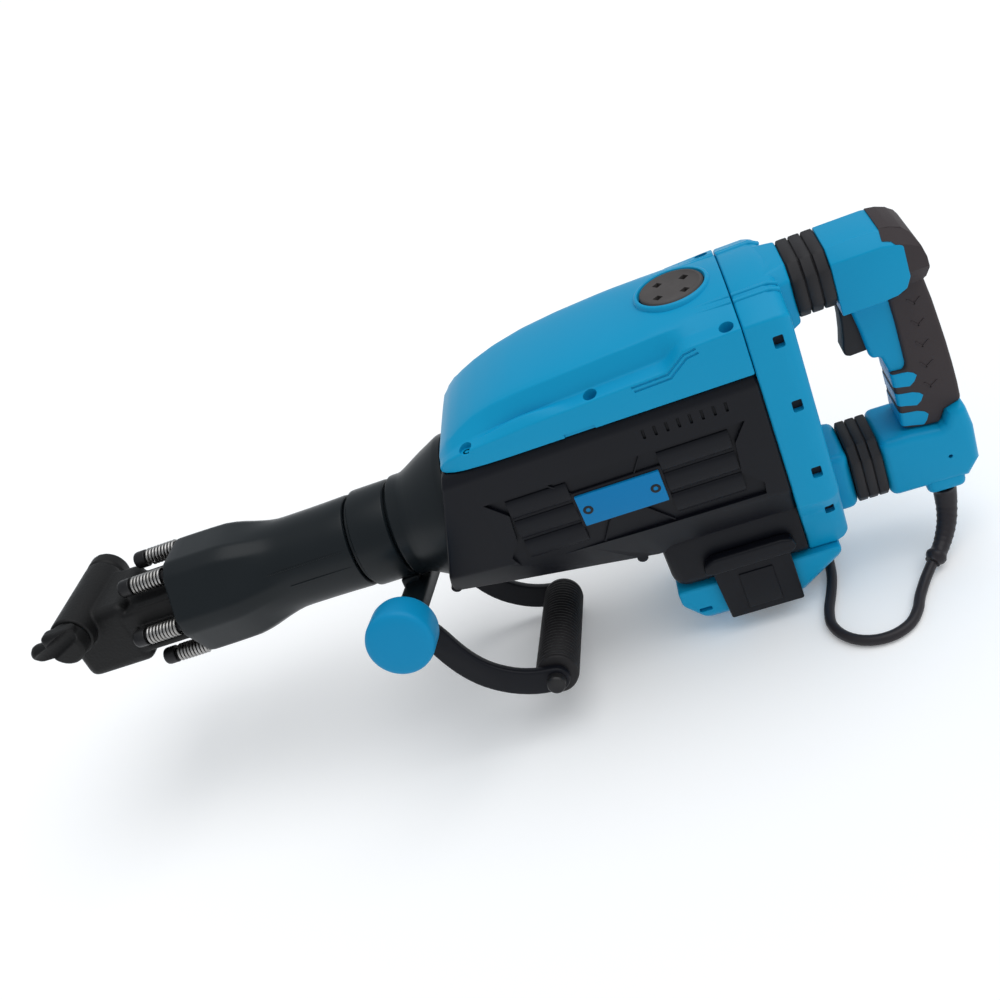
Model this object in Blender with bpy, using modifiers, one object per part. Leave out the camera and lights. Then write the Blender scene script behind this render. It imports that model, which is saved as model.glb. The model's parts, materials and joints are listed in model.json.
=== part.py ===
"""Electric demolition hammer, laid out along the tool axis and standing on its motor foot.

Every size is in millimetres and becomes metres through MM when a mesh is made. A station is a
distance along the tool axis, counted rearwards from the front rim of the nose cover; a height is
counted up from the tool axis, and a side distance is positive to the far side of the tool.
"""

import math

import bmesh
import bpy
from mathutils import Matrix, Vector

MM = 0.001

# The frame: where the tool axis and station 0 lie in the part's own coordinates.
STATION_ZERO = -244.0
SIDE_ZERO = 26.7
AXIS_HEIGHT = 156.0
GAP = 0.3

# Nose.
COVER_RADIUS = 47.6
COVER_BORE = 31.0
COVER_LENGTH = 152.0
NECK_RADIUS = 36.8
NOSE_TURN = -5.0
BOLT_CIRCLE = 41.2
BOLT_COUNT = 6
BOLT_RADIUS = 4.3
BOLT_HEAD_RADIUS = 7.2
SPRING_LENGTH = 30.0
SPRING_MEAN_RADIUS = 6.2
SPRING_WIRE = 1.2
SPRING_TURNS = 4
SOCKET_FLATS = 30.6
LEVER_STATION = -87.0
LEVER_HEIGHT = 21.5
LEVER_SHAFT = 8.0

# Barrel and striking train.
CASE_BORE = 30.2
LINER_OUTER = 29.8
LINER_BORE = 25.0
PISTON_RADIUS = 24.6
PISTON_PIN_STATION = 245.0
CRANK_STATION = 385.0
CRANK_THROW = 27.0
MOTOR_STATION = 435.0
CRANK_GEAR_RADIUS = 41.0
PINION_RADIUS = 8.2

# Housings.
HALF_WIDTH = 62.6
SEAM_HEIGHT = 66.0
SEAM_STATION = 474.7
FOOT_HEIGHT = -156.0
CAP_SEAM_HEIGHT = -105.0
MOTOR_HALF_WIDTH = 50.0
MOTOR_BORE = 43.5

# Side handle: its clamp hangs under the barrel, turned a little towards the near side.
SWING = 14.0
CLAMP_BOLT_STATION = 184.0
CLAMP_BOLT_DROP = 46.5
ARM_SIDE = 70.0
ARM_THICKNESS = 8.0
GRIP_STATION = 271.5
GRIP_DROP = 127.4
GRIP_RADIUS = 16.6
KNOB_RADIUS = 25.5
KNOB_LENGTH = 34.0

# Rear handle.
UPPER_ARM_END = 514.0
LOWER_ARM_END = 520.0
HANDLE_TOP_START = 540.3
HANDLE_BOTTOM_START = 543.3
UPPER_ROD_HEIGHT = 92.0
LOWER_ROD_HEIGHT = -70.0
TRIGGER_PIVOT = (550.0, 57.5)

# Mains lead.
CORD_DIAMETER = 8.0
COIL_CENTRE = (405.0, 152.0)
COIL_MEAN_RADIUS = 46.0
COIL_SECTION = 25.0

PARTS = "demolition_hammer"
CUTTERS = "cutters"


# ---------------------------------------------------------------- scene and materials


def clear_scene():
    """Removes what the file opens with and makes the two collections."""
    for obj in list(bpy.data.objects):
        bpy.data.objects.remove(obj)
    for name in (PARTS, CUTTERS):
        collection = bpy.data.collections.new(name)
        bpy.context.scene.collection.children.link(collection)


def finish(name, colour, roughness, metallic=0.0):
    """A plain Principled material."""
    material = bpy.data.materials.new(name)
    material.use_nodes = True
    shader = material.node_tree.nodes["Principled BSDF"]
    shader.inputs["Base Color"].default_value = (*colour, 1.0)
    shader.inputs["Roughness"].default_value = roughness
    shader.inputs["Metallic"].default_value = metallic
    return material


def tool_point(station, side=0.0, height=0.0):
    """A place on the tool, in the part's coordinates."""
    return Vector((station + STATION_ZERO, side + SIDE_ZERO, height + AXIS_HEIGHT)) * MM


def grip_point(station, drop, along=0.0):
    """A place on the side handle: drop is away from the tool axis, along is towards its knob."""
    swing = math.radians(SWING)
    side = -drop * math.sin(swing) - along * math.cos(swing)
    height = -drop * math.cos(swing) + along * math.sin(swing)
    return tool_point(station, side, height)


# ---------------------------------------------------------------- mesh makers


def add_object(name, mesh, material=None, location=(0, 0, 0), rotation=None, parent=None):
    """Links a named object; with no material it is a cutter or a piece to be joined."""
    obj = bpy.data.objects.new(name, mesh)
    obj.location = location
    if rotation is not None:
        obj.rotation_euler = rotation
    if parent is not None:
        obj.parent = parent
    if material is None:
        bpy.data.collections[CUTTERS].objects.link(obj)
        obj.hide_render = True
        obj.display_type = "WIRE"
    else:
        bpy.data.collections[PARTS].objects.link(obj)
        mesh.materials.append(material)
    return obj


def turned(name, profile, steps=32):
    """A closed turned mesh about local Z: the profile holds (height, radius), outer side first."""
    mesh = bpy.data.meshes.new(name)
    work = bmesh.new()
    points = [work.verts.new((radius * MM, 0, height * MM)) for height, radius in profile]
    for first, second in zip(points, points[1:]):
        work.edges.new((first, second))
    if profile[0][1] > 0:
        work.edges.new((points[-1], points[0]))
    work.to_mesh(mesh)
    work.free()
    holder = bpy.data.objects.new(name + "_profile", mesh)
    bpy.context.scene.collection.objects.link(holder)
    screw = holder.modifiers.new("turn", "SCREW")
    screw.axis = "Z"
    screw.steps = screw.render_steps = steps
    screw.use_merge_vertices = True
    screw.merge_threshold = 0.00001
    result = settled_mesh(holder, name)
    result.shade_smooth()
    result.set_sharp_from_angle(angle=math.radians(35))
    return result


def settled_mesh(holder, name):
    """The object's evaluated mesh as plain data with outward faces; the object is removed."""
    bpy.context.view_layer.update()
    graph = bpy.context.evaluated_depsgraph_get()
    result = bpy.data.meshes.new_from_object(holder.evaluated_get(graph))
    result.name = name
    bpy.data.objects.remove(holder)
    work = bmesh.new()
    work.from_mesh(result)
    bmesh.ops.remove_doubles(work, verts=work.verts, dist=0.000005)
    bmesh.ops.recalc_face_normals(work, faces=work.faces)
    work.to_mesh(result)
    work.free()
    return result


def plate(name, outline, thickness):
    """A flat outline in local XY, thick along Z."""
    curve = bpy.data.curves.new(name, "CURVE")
    curve.dimensions = "2D"
    curve.fill_mode = "BOTH"
    curve.extrude = thickness * MM / 2
    spline = curve.splines.new("POLY")
    spline.points.add(len(outline) - 1)
    for point, (across, up) in zip(spline.points, outline):
        point.co = (across * MM, up * MM, 0, 1)
    spline.use_cyclic_u = True
    holder = bpy.data.objects.new(name + "_outline", curve)
    bpy.context.scene.collection.objects.link(holder)
    return settled_mesh(holder, name)


def block(name, size):
    """A box about its own centre, size along X, Y and Z."""
    mesh = bpy.data.meshes.new(name)
    work = bmesh.new()
    bmesh.ops.create_cube(work, size=1, matrix=Matrix.Diagonal((*[s * MM for s in size], 1)))
    work.to_mesh(mesh)
    work.free()
    return mesh


def loft(name, sections):
    """A closed skin through sections of equal point count; each is (station, [(side, height)])."""
    mesh = bpy.data.meshes.new(name)
    work = bmesh.new()
    rings = []
    for station, outline in sections:
        rings.append([work.verts.new((station * MM, side * MM, up * MM)) for side, up in outline])
    count = len(rings[0])
    for before, after in zip(rings, rings[1:]):
        for i in range(count):
            j = (i + 1) % count
            work.faces.new((before[i], before[j], after[j], after[i]))
    work.faces.new(rings[0])
    work.faces.new(rings[-1])
    bmesh.ops.recalc_face_normals(work, faces=work.faces)
    work.to_mesh(mesh)
    work.free()
    return mesh


def tube(name, points, radius, sides_level=2):
    """A round tube through points given in metres, as a closed mesh."""
    curve = bpy.data.curves.new(name, "CURVE")
    curve.dimensions = "3D"
    curve.bevel_depth = radius * MM
    curve.bevel_resolution = sides_level
    curve.use_fill_caps = True
    spline = curve.splines.new("POLY")
    spline.points.add(len(points) - 1)
    for point, place in zip(spline.points, points):
        point.co = (*place, 1)
    holder = bpy.data.objects.new(name + "_path", curve)
    bpy.context.scene.collection.objects.link(holder)
    return settled_mesh(holder, name)


def smooth_points(knots, spacing):
    """Points on a Catmull-Rom curve through the knots, about one spacing apart."""
    ends = [2 * knots[0] - knots[1], *knots, 2 * knots[-1] - knots[-2]]
    points = []
    for i in range(1, len(ends) - 2):
        a, b, c, d = ends[i - 1 : i + 3]
        pieces = max(1, round((c - b).length / spacing))
        for k in range(pieces):
            t = k / pieces
            first = 2 * b + (c - a) * t
            second = (2 * a - 5 * b + 4 * c - d) * t**2
            third = (3 * b - 3 * c + d - a) * t**3
            points.append((first + second + third) / 2)
    points.append(knots[-1])
    return points


def mirrored(half):
    """A whole outline from its near half, which runs from the middle line round to the middle."""
    return half + [(-side, up) for side, up in reversed(half) if side != 0]


# ---------------------------------------------------------------- joining and cutting


def combine(target, other, operation):
    """An exact Boolean on the target."""
    modifier = target.modifiers.new(f"{operation.lower()} {other.name}", "BOOLEAN")
    modifier.operation = operation
    modifier.solver = "EXACT"
    modifier.object = other


def cut_round(target, name, radius, length, station, side, height, axis="X", parent=None):
    """Drills a round hole whose middle is at the given place."""
    drill = turned(name, [(length / 2, 0), (length / 2, radius), (-length / 2, radius),
                          (-length / 2, 0)], 20)
    turn = {"X": (0, math.pi / 2, 0), "Y": (math.pi / 2, 0, 0), "Z": (0, 0, 0)}[axis]
    place = Vector((station, side, height)) * MM if parent else tool_point(station, side, height)
    cutter = add_object(name, drill, None, place, turn, parent)
    combine(target, cutter, "DIFFERENCE")


def cut_box(target, name, low, high, parent=None):
    """Cuts the box between two corners, given as station, side and height."""
    combine(target, box_between(name, low, high, parent), "DIFFERENCE")


def join_box(target, name, low, high, parent=None, bevel=0.0):
    """Joins the box between two corners."""
    other = box_between(name, low, high, parent)
    if bevel:
        round_edges(other, bevel)
    combine(target, other, "UNION")


def box_between(name, low, high, parent=None, material=None):
    """A box between two corners on the tool, or in the parent's coordinates."""
    size = [b - a for a, b in zip(low, high)]
    middle = [(a + b) / 2 for a, b in zip(low, high)]
    place = Vector(middle) * MM if parent else tool_point(*middle)
    return add_object(name, block(name, size), material, place, None, parent)


def round_edges(obj, width, segments=1, angle=40):
    """Rounds or chamfers the sharp edges."""
    bevel = obj.modifiers.new("edges", "BEVEL")
    bevel.width = width * MM
    bevel.segments = segments
    bevel.limit_method = "ANGLE"
    bevel.angle_limit = math.radians(angle)


ALONG_AXIS = (0, math.pi / 2, 0)


def turned_along(name, profile, material, steps=32, parent=None):
    """A turned piece on the tool axis, its profile given as (station, radius) from the rear."""
    place = Vector((0, 0, 0)) if parent else tool_point(0)
    return add_object(name, turned(name, profile, steps), material, place, ALONG_AXIS, parent)


def turned_upright(name, profile, material, station, steps=24):
    """A turned piece on an upright axis through the given station, its profile as (height, radius)."""
    return add_object(name, turned(name, profile, steps), material, tool_point(station))


def side_plate(name, outline, low, high, material):
    """An outline in (station, height), thick from one side distance to the other."""
    mesh = plate(name, outline, high - low)
    mesh.transform(Matrix.Rotation(math.pi / 2, 4, "X"))
    return add_object(name, mesh, material, tool_point(0, (low + high) / 2))


# ---------------------------------------------------------------- nose


def bolt_places():
    """(side, height) of each nose bolt about the tool axis."""
    for i in range(BOLT_COUNT):
        angle = math.radians(30 + 360 / BOLT_COUNT * i)
        yield -BOLT_CIRCLE * math.sin(angle), BOLT_CIRCLE * math.cos(angle)


def make_nose(finishes):
    """Nose cover, tool holder, bolts with their springs, and the stop lever."""
    frame = bpy.data.objects.new("nose_frame", None)
    bpy.data.collections[PARTS].objects.link(frame)
    frame.location = tool_point(0)
    frame.rotation_euler = (math.radians(NOSE_TURN), 0, 0)

    cover = turned_along("nose_cover", [
        (COVER_LENGTH, NECK_RADIUS + 0.6), (118, NECK_RADIUS), (87, NECK_RADIUS), (68, 41.8),
        (46, 47.0), (4, COVER_RADIUS), (0, COVER_RADIUS - 1.6), (0, COVER_BORE),
        (COVER_LENGTH, COVER_BORE)], finishes["black_paint"], 36)
    for i, (side, height) in enumerate(bolt_places(), 1):
        cut_round(cover, f"bolt_hole_{i}", BOLT_RADIUS + 0.4, 40, 4, side, height, "X", frame)
        make_nose_bolt(i, side, height, frame, finishes)
    make_tool_holder(frame, finishes)
    make_stop_lever(frame, finishes)


def make_nose_bolt(index, side, height, frame, finishes):
    """One cap bolt and the compression spring under its head."""
    head = -SPRING_LENGTH - 0.6
    bolt = turned(f"nose_bolt_{index}", [
        (22, 0), (22, BOLT_RADIUS), (head, BOLT_RADIUS), (head, BOLT_HEAD_RADIUS),
        (head - 9, BOLT_HEAD_RADIUS), (head - 10.5, BOLT_HEAD_RADIUS - 1.5), (head - 10.5, 0)], 14)
    place = Vector((0, side, height)) * MM
    add_object(f"nose_bolt_{index}", bolt, finishes["black_steel"], place, ALONG_AXIS, frame)

    per_turn = 8
    length = SPRING_LENGTH - 2 * SPRING_WIRE - 2 * GAP
    points = []
    for k in range(SPRING_TURNS * per_turn + 1):
        angle = 2 * math.pi * k / per_turn
        along = -GAP - SPRING_WIRE - length * k / (SPRING_TURNS * per_turn)
        points.append(Vector((along, SPRING_MEAN_RADIUS * math.cos(angle),
                              SPRING_MEAN_RADIUS * math.sin(angle))) * MM)
    spring = tube(f"nose_spring_{index}", points, SPRING_WIRE, 1)
    add_object(f"nose_spring_{index}", spring, finishes["spring_steel"], place, None, frame)


def make_tool_holder(frame, finishes):
    """The cast nose: a neck in the cover, a square body, the lever's cross boss and a hex socket."""
    holder = turned_along("tool_holder", [
        (34, 0), (34, 28.6), (-100, 28.6), (-108, 26), (-112, 22), (-112, 0)],
        finishes["cast_iron"], 30, frame)
    join_box(holder, "holder_body", (-104, -33, -29), (-43, 33, 29), frame, 6)
    join_box(holder, "holder_neck_flats", (-50, -32.6, -20), (-1, 32.6, 20), frame, 3)
    boss = turned("holder_boss", [(45, 0), (45, 17.5), (-52, 17.5), (-52, 0)], 24)
    boss_place = Vector((LEVER_STATION, 0, LEVER_HEIGHT)) * MM
    boss_obj = add_object("holder_boss", boss, None, boss_place, (math.pi / 2, 0, 0), frame)
    combine(holder, boss_obj, "UNION")

    corner = SOCKET_FLATS / math.sqrt(3)
    hexagon = [(corner * math.sin(math.radians(30 + 60 * k)),
                corner * math.cos(math.radians(30 + 60 * k))) for k in range(6)]
    socket = loft("hex_socket", [(-130, hexagon), (-22, hexagon)])
    combine(holder, add_object("hex_socket", socket, None, parent=frame), "DIFFERENCE")
    cut_round(holder, "anvil_bore", 15.6, 64, 6, 0, 0, "X", frame)
    cut_round(holder, "lever_bore", LEVER_SHAFT + 0.4, 120, LEVER_STATION, 0, LEVER_HEIGHT, "Y",
              frame)


def make_stop_lever(frame, finishes):
    """The cross shaft that holds the tool in, with its hub and thumb tab on the near side."""
    place = Vector((LEVER_STATION, 0, LEVER_HEIGHT)) * MM
    shaft = turned("stop_lever", [
        (60, 0), (60, 12), (57, 15.5), (45.5, 15.5), (45.5, LEVER_SHAFT), (-54, LEVER_SHAFT),
        (-54, 0)], 24)
    lever = add_object("stop_lever", shaft, finishes["cast_iron"], place, (math.pi / 2, 0, 0),
                       frame)
    low = (LEVER_STATION - 34, -58, LEVER_HEIGHT - 7)
    high = (LEVER_STATION - 6, -46, LEVER_HEIGHT + 7)
    join_box(lever, "lever_tab", low, high, frame, 3)
    cut_box(lever, "lever_flat", (LEVER_STATION - 12, -14, LEVER_HEIGHT + 4.5),
            (LEVER_STATION + 12, 14, LEVER_HEIGHT + 12), frame)


# ---------------------------------------------------------------- barrel and striking train


def make_barrel(finishes):
    """The cylinder case behind the nose cover and the steel liner inside it."""
    turned_along("cylinder_case", [
        (246, 54), (243, 58.5), (238, 58.5), (221, 51), (199, 40.4), (190, 40.4), (189, 35),
        (COVER_LENGTH + GAP, 35), (COVER_LENGTH + GAP, CASE_BORE), (246, CASE_BORE)],
        finishes["black_paint"], 36)
    turned_along("cylinder_liner", [
        (290, LINER_OUTER), (40, LINER_OUTER), (40, LINER_BORE), (290, LINER_BORE)],
        finishes["bright_steel"], 28)


def make_striking_train(finishes):
    """Anvil, ram, piston, rod and crank, at the piston's front dead centre."""
    steel = finishes["bright_steel"]
    turned_along("impact_bolt", [(60, 0), (60, 12), (42, 12), (39, 15), (-10, 15), (-18, 10),
                                 (-18, 0)], steel, 20)
    turned_along("striker", [(150, 0), (150, PISTON_RADIUS), (104, PISTON_RADIUS), (98, 12),
                             (76, 12), (76, 0)], steel, 24)
    pin = PISTON_PIN_STATION
    piston = turned_along("piston", [(pin + 20, 0), (pin + 20, PISTON_RADIUS),
                                     (pin - 32, PISTON_RADIUS), (pin - 32, 0)], steel, 24)
    cut_box(piston, "rod_slot", (pin - 15, -16, -7), (pin + 25, 16, 7))
    cut_round(piston, "wrist_pin_hole", 5.3, 60, pin, 0, 0, "Z")
    turned_upright("wrist_pin", [(19, 0), (19, 5), (-19, 5), (-19, 0)], steel, pin, 14)
    make_connecting_rod(finishes)

    crank_pin = CRANK_STATION - CRANK_THROW
    turned_upright("crank_pin", [(9, 0), (9, 8), (-8, 8), (-8, 0)], steel, crank_pin, 18)
    turned_upright("crankshaft", [(-8.3, 0), (-8.3, 38), (-18, 38), (-18, 10), (-55, 10),
                                  (-55, 0)], finishes["black_steel"], CRANK_STATION)
    turned_upright("crank_gear", [
        (-30, CRANK_GEAR_RADIUS), (-42, CRANK_GEAR_RADIUS), (-42, 10.3), (-30, 10.3)],
        finishes["bright_steel"], CRANK_STATION, 36)


def make_connecting_rod(finishes):
    """A flat rod between the wrist pin and the crank pin."""
    small, large = PISTON_PIN_STATION, CRANK_STATION - CRANK_THROW
    rod = turned_upright("connecting_rod", [(6, 11), (-6, 11), (-6, 5.3), (6, 5.3)],
                         finishes["bright_steel"], small, 20)
    big_end = turned("rod_big_end", [(6, 15), (-6, 15), (-6, 8.3), (6, 8.3)], 20)
    combine(rod, add_object("rod_big_end", big_end, None, tool_point(large)), "UNION")
    join_box(rod, "rod_shank", (small + 9, -6, -5), (large - 12, 6, 5))


# ---------------------------------------------------------------- motor


def make_motor(finishes):
    """An upright universal motor whose pinion turns the crank gear."""
    station = MOTOR_STATION
    turned_upright("armature", [
        (-29, 0), (-29, PINION_RADIUS), (-43, PINION_RADIUS), (-44, 6), (-84, 6), (-84, 25),
        (-120, 25), (-120, 14), (-136, 14), (-136, 6), (-150, 6), (-150, 0)],
        finishes["lamination_steel"], station)
    turned_upright("motor_fan", [(-67, 37), (-77, 37), (-77, 6.3), (-67, 6.3)],
                   finishes["grey_plastic"], station)
    turned_upright("upper_bearing", [(-51, 16), (-60, 16), (-60, 6.3), (-51, 6.3)],
                   finishes["bright_steel"], station, 20)
    turned_upright("lower_bearing", [(-140, 13), (-148, 13), (-148, 6.3), (-140, 6.3)],
                   finishes["bright_steel"], station, 20)
    turned_upright("stator", [(-86, 38.5), (-118, 38.5), (-118, 26.5), (-86, 26.5)],
                   finishes["lamination_steel"], station, 28)


# ---------------------------------------------------------------- housings


def housing_section(shoulder, bottom):
    """Outline across the housing: straight sides above a chamfer to a flat underside."""
    return mirrored([(0, bottom), (46, bottom), (HALF_WIDTH, shoulder),
                     (HALF_WIDTH, SEAM_HEIGHT), (0, SEAM_HEIGHT)])


def make_main_housing(finishes):
    """The black gear and motor housing, open on top and at the rear, where covers close it."""
    stations = [(215, -16, -41), (265, -20, -50), (325, -23, -59), (370, -27, -66),
                (SEAM_STATION, -33, -66)]
    sections = [(station, housing_section(shoulder, bottom))
                for station, shoulder, bottom in stations]
    housing = add_object("main_housing", loft("main_housing", sections),
                         finishes["black_paint"], tool_point(0))
    lean = side_plate("front_lean", [(180, 120), (264, 120), (264, SEAM_HEIGHT), (228, -60),
                                     (228, -90), (180, -90)], -90, 90, None)
    combine(housing, lean, "DIFFERENCE")
    motor = box_between("motor_bulge", (372, -MOTOR_HALF_WIDTH, CAP_SEAM_HEIGHT + GAP),
                        (SEAM_STATION, MOTOR_HALF_WIDTH, -50))
    round_edges(motor, 12, 2)
    combine(housing, motor, "UNION")
    cut_box(housing, "trim_motor_foot", (360, -70, -130), (490, 70, CAP_SEAM_HEIGHT + 2))
    cut_round(housing, "case_socket", 59.9, 40, 228, 0, 0)
    cut_round(housing, "liner_bore", 30.3, 60, 262, 0, 0)
    cut_box(housing, "gear_space", (292, -57, -28), (490, 57, 80))
    cut_box(housing, "gear_space_lower", (340, -43.5, -58), (490, 43.5, -20))
    cut_round(housing, "motor_space", MOTOR_BORE, 90, MOTOR_STATION, 0, -85, "Z")


def top_section(scale, top):
    """Outline of the top cover: a side band, a ledge, a leaning wall and a crowned top."""
    band = SEAM_HEIGHT + GAP + (86 - SEAM_HEIGHT) * scale
    rise = top - band
    wide = HALF_WIDTH * (0.8 + 0.2 * scale)
    half = [(0, SEAM_HEIGHT + GAP), (wide, SEAM_HEIGHT + GAP), (wide, band),
            (wide - 10, band + 0.10 * rise), (wide * 0.62, band + 0.62 * rise),
            (wide * 0.5, band + 0.82 * rise), (wide * 0.28, band + 0.96 * rise), (0, top)]
    return mirrored(half)


def make_top_cover(finishes):
    """The blue cover: it starts low over the front flange and rises to the grease cap."""
    stations = [(252, 0.25, 74), (262, 0.6, 84), (285, 0.8, 96), (315, 0.95, 104.5), (360, 1, 110),
                (400, 1, 112.5), (440, 1, 114), (SEAM_STATION, 1, 115)]
    sections = [(station, top_section(scale, top)) for station, scale, top in stations]
    cover = add_object("top_cover", loft("top_cover", sections), finishes["blue_plastic"],
                       tool_point(0))
    cut_box(cover, "cover_hollow", (280, -55, 55), (490, 55, 82))
    cut_box(cover, "cover_hollow_top", (310, -30, 70), (490, 30, 96))
    cut_round(cover, "cap_seat", 23.0, 20, 440, 0, 119.5, "Z")
    turned_upright("grease_cap", [
        (116.5, 0), (116.5, 21), (115.5, 22.5), (110, 22.5), (110, 0)], finishes["cap_plastic"],
        440)


def make_rear_cover(finishes):
    """The blue rear cover with the two stub arms that carry the handle."""
    half = [(0, CAP_SEAM_HEIGHT + GAP), (MOTOR_HALF_WIDTH - 6, CAP_SEAM_HEIGHT + GAP),
            (MOTOR_HALF_WIDTH + 2, -66), (HALF_WIDTH, -50), (HALF_WIDTH, 92), (53, 101),
            (36, 108), (20, 113), (0, 115)]
    front = mirrored(half)
    middle = Vector((0, 10))
    rear = [((side - middle[0]) * 0.93, middle[1] + (up - middle[1]) * 0.95) for side, up in front]
    start = SEAM_STATION + GAP
    cover = add_object("rear_cover", loft("rear_cover", [(start, front), (498, front),
                                                         (506, rear)]),
                       finishes["blue_plastic"], tool_point(0))
    join_box(cover, "upper_stub", (480, -27, 71), (UPPER_ARM_END, 27, 113), None, 5)
    join_box(cover, "lower_stub", (490, -25.5, -96), (LOWER_ARM_END, 25.5, -45), None, 6)
    cut_box(cover, "rear_hollow", (460, -56, -96), (499, 56, 66))
    cut_box(cover, "rear_hollow_top", (460, -30, 60), (499, 30, 96))
    cut_round(cover, "upper_rod_hole", 6.3, 60, 505, 0, UPPER_ROD_HEIGHT)
    cut_round(cover, "lower_rod_hole", 6.3, 60, 508, 0, LOWER_ROD_HEIGHT)


def cap_section(bottom):
    """Outline across the foot: flat below, chamfered up to its straight sides."""
    half = [(0, bottom), (27, bottom), (45, bottom + 17), (MOTOR_HALF_WIDTH, bottom + 22),
            (MOTOR_HALF_WIDTH, CAP_SEAM_HEIGHT)]
    return mirrored(half + [(0, CAP_SEAM_HEIGHT)])


def make_motor_cap(finishes):
    """The blue foot under the motor, chamfered up at the front and towards the rear."""
    stations = [(372, -139), (386, FOOT_HEIGHT), (462, FOOT_HEIGHT), (480, -143), (497, -131)]
    sections = [(station, cap_section(bottom)) for station, bottom in stations]
    cap = add_object("motor_cap", loft("motor_cap", sections), finishes["blue_plastic"],
                     tool_point(0))
    cut_round(cap, "cap_hollow", MOTOR_BORE, 60, MOTOR_STATION, 0, -122, "Z")
    for side, name in ((-1, "brush_cover_near"), (1, "brush_cover_far")):
        make_brush_cover(name, side, finishes)


def make_brush_cover(name, side, finishes):
    """A dark cover over one brush, with a ledge along its top edge."""
    inner, outer = MOTOR_HALF_WIDTH + GAP, MOTOR_HALF_WIDTH + 6.5
    ledge = MOTOR_HALF_WIDTH + 9.5
    low, high = sorted((side * inner, side * outer))
    cover = box_between(name, (400, low, -140), (460, high, -78), None, finishes["black_plastic"])
    low, high = sorted((side * (inner + 1), side * ledge))
    join_box(cover, f"{name}_ledge", (397, low, -86), (463, high, -80), None, 1.5)


def make_name_plate(finishes):
    """The small plate on the near side, between the panel's ribs."""
    low = (332, -HALF_WIDTH - 1.8, -7.5)
    high = (393.6, -HALF_WIDTH - GAP, 18.8)
    box_between("name_plate", low, high, None, finishes["blue_plastic"])


# ---------------------------------------------------------------- rear handle


def make_rear_handle(finishes):
    """The sprung D handle: two blocks joined by the grip core, rubber, trigger and switch."""
    core_outline = [(556, 68), (556, -46), (572, -46), (584, -46), (588, 30), (584, 80), (572, 80)]
    frame = side_plate("handle_frame", core_outline, -12.5, 12.5, finishes["blue_plastic"])
    top = side_plate("handle_top_block", [
        (HANDLE_TOP_START, 113), (566, 110.5), (584, 104), (590, 96), (592, 72), (584, 66),
        (566, 62), (HANDLE_TOP_START, 63)], -28, 28, None)
    round_edges(top, 5, 1, 50)
    bottom = side_plate("handle_bottom_block", [
        (HANDLE_BOTTOM_START, -44), (566, -44), (584, -43), (597, -22), (605.5, -22), (609, -52),
        (609, -84), (600, -97), (HANDLE_BOTTOM_START, -96)], -26, 26, None)
    round_edges(bottom, 5, 1, 60)
    combine(frame, top, "UNION")
    join_box(frame, "cord_boss", (569, -25.5, -105), (597, -2, -90), None, 4)
    combine(frame, bottom, "UNION")
    cut_round(frame, "upper_guide_bore", 7, 60, 540, 0, UPPER_ROD_HEIGHT)
    cut_round(frame, "lower_guide_bore", 7, 60, 543, 0, LOWER_ROD_HEIGHT)
    cut_box(frame, "trigger_slot", (530, -9.6, 10), (564, 9.6, 66))
    cut_box(frame, "switch_space", (545, -9.6, 60), (580, 9.6, 82))

    rubber = side_plate("grip_rubber", [
        (568, 60), (568, -43.6), (583.7, -42.7), (596.7, -21.7), (605.2, -21.7), (603, 15),
        (600, 50), (601, 78), (599, 98), (592, 105), (593.3, 96), (595.3, 71), (584.5, 65)],
        -18, 18, finishes["grip_rubber"])
    low, high = (540, -12.8, -60), (588.5, 12.8, 90)
    cut_box(rubber, "core_clearance", low, high)
    for side in (-1, 1):
        near, far = sorted((side * 12, side * 18.6))
        cut_box(rubber, f"front_clearance_{near}", (540, near, -60), (566, far, 90))
    make_trigger(finishes)
    box_between("switch_body", (565, -9, 67), (579, 9, 81), None, finishes["black_plastic"])


def make_trigger(finishes):
    """The paddle trigger, hung from its pivot below the top block."""
    pivot_station, pivot_height = TRIGGER_PIVOT
    outline = [(541, 61.5), (554, 61.5), (555, 24), (550, 14), (545, 15.5), (537, 23), (539, 45)]
    local = [(station - pivot_station, height - pivot_height) for station, height in outline]
    mesh = plate("trigger", local, 18)
    mesh.transform(Matrix.Rotation(math.pi / 2, 4, "X"))
    place = tool_point(pivot_station, 0, pivot_height)
    add_object("trigger", mesh, finishes["black_plastic"], place)


def bellows_outline(half_width, low, high, grow):
    """A chamfered rectangle round one bellows ring."""
    wide, top, bottom, chamfer = half_width + grow, high + grow, low - grow, 7
    half = [(0, bottom), (wide - chamfer, bottom), (wide, bottom + chamfer),
            (wide, top - chamfer), (wide - chamfer, top), (0, top)]
    return mirrored(half)


def make_bellows(name, start, end, half_width, low, high, finishes):
    """A ribbed rubber sleeve between the rear cover and the handle."""
    ribs = 4
    length = end - start
    sections = []
    for k in range(2 * ribs + 1):
        grow = 0 if k % 2 == 0 else 2.6
        sections.append((start + length * k / (2 * ribs),
                         bellows_outline(half_width, low, high, grow)))
    sleeve = add_object(name, loft(name, sections), finishes["black_rubber"], tool_point(0))
    cut_box(sleeve, f"{name}_hollow", (start - 10, -half_width + 8, low + 8),
            (end + 10, half_width - 8, high - 8))


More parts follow.
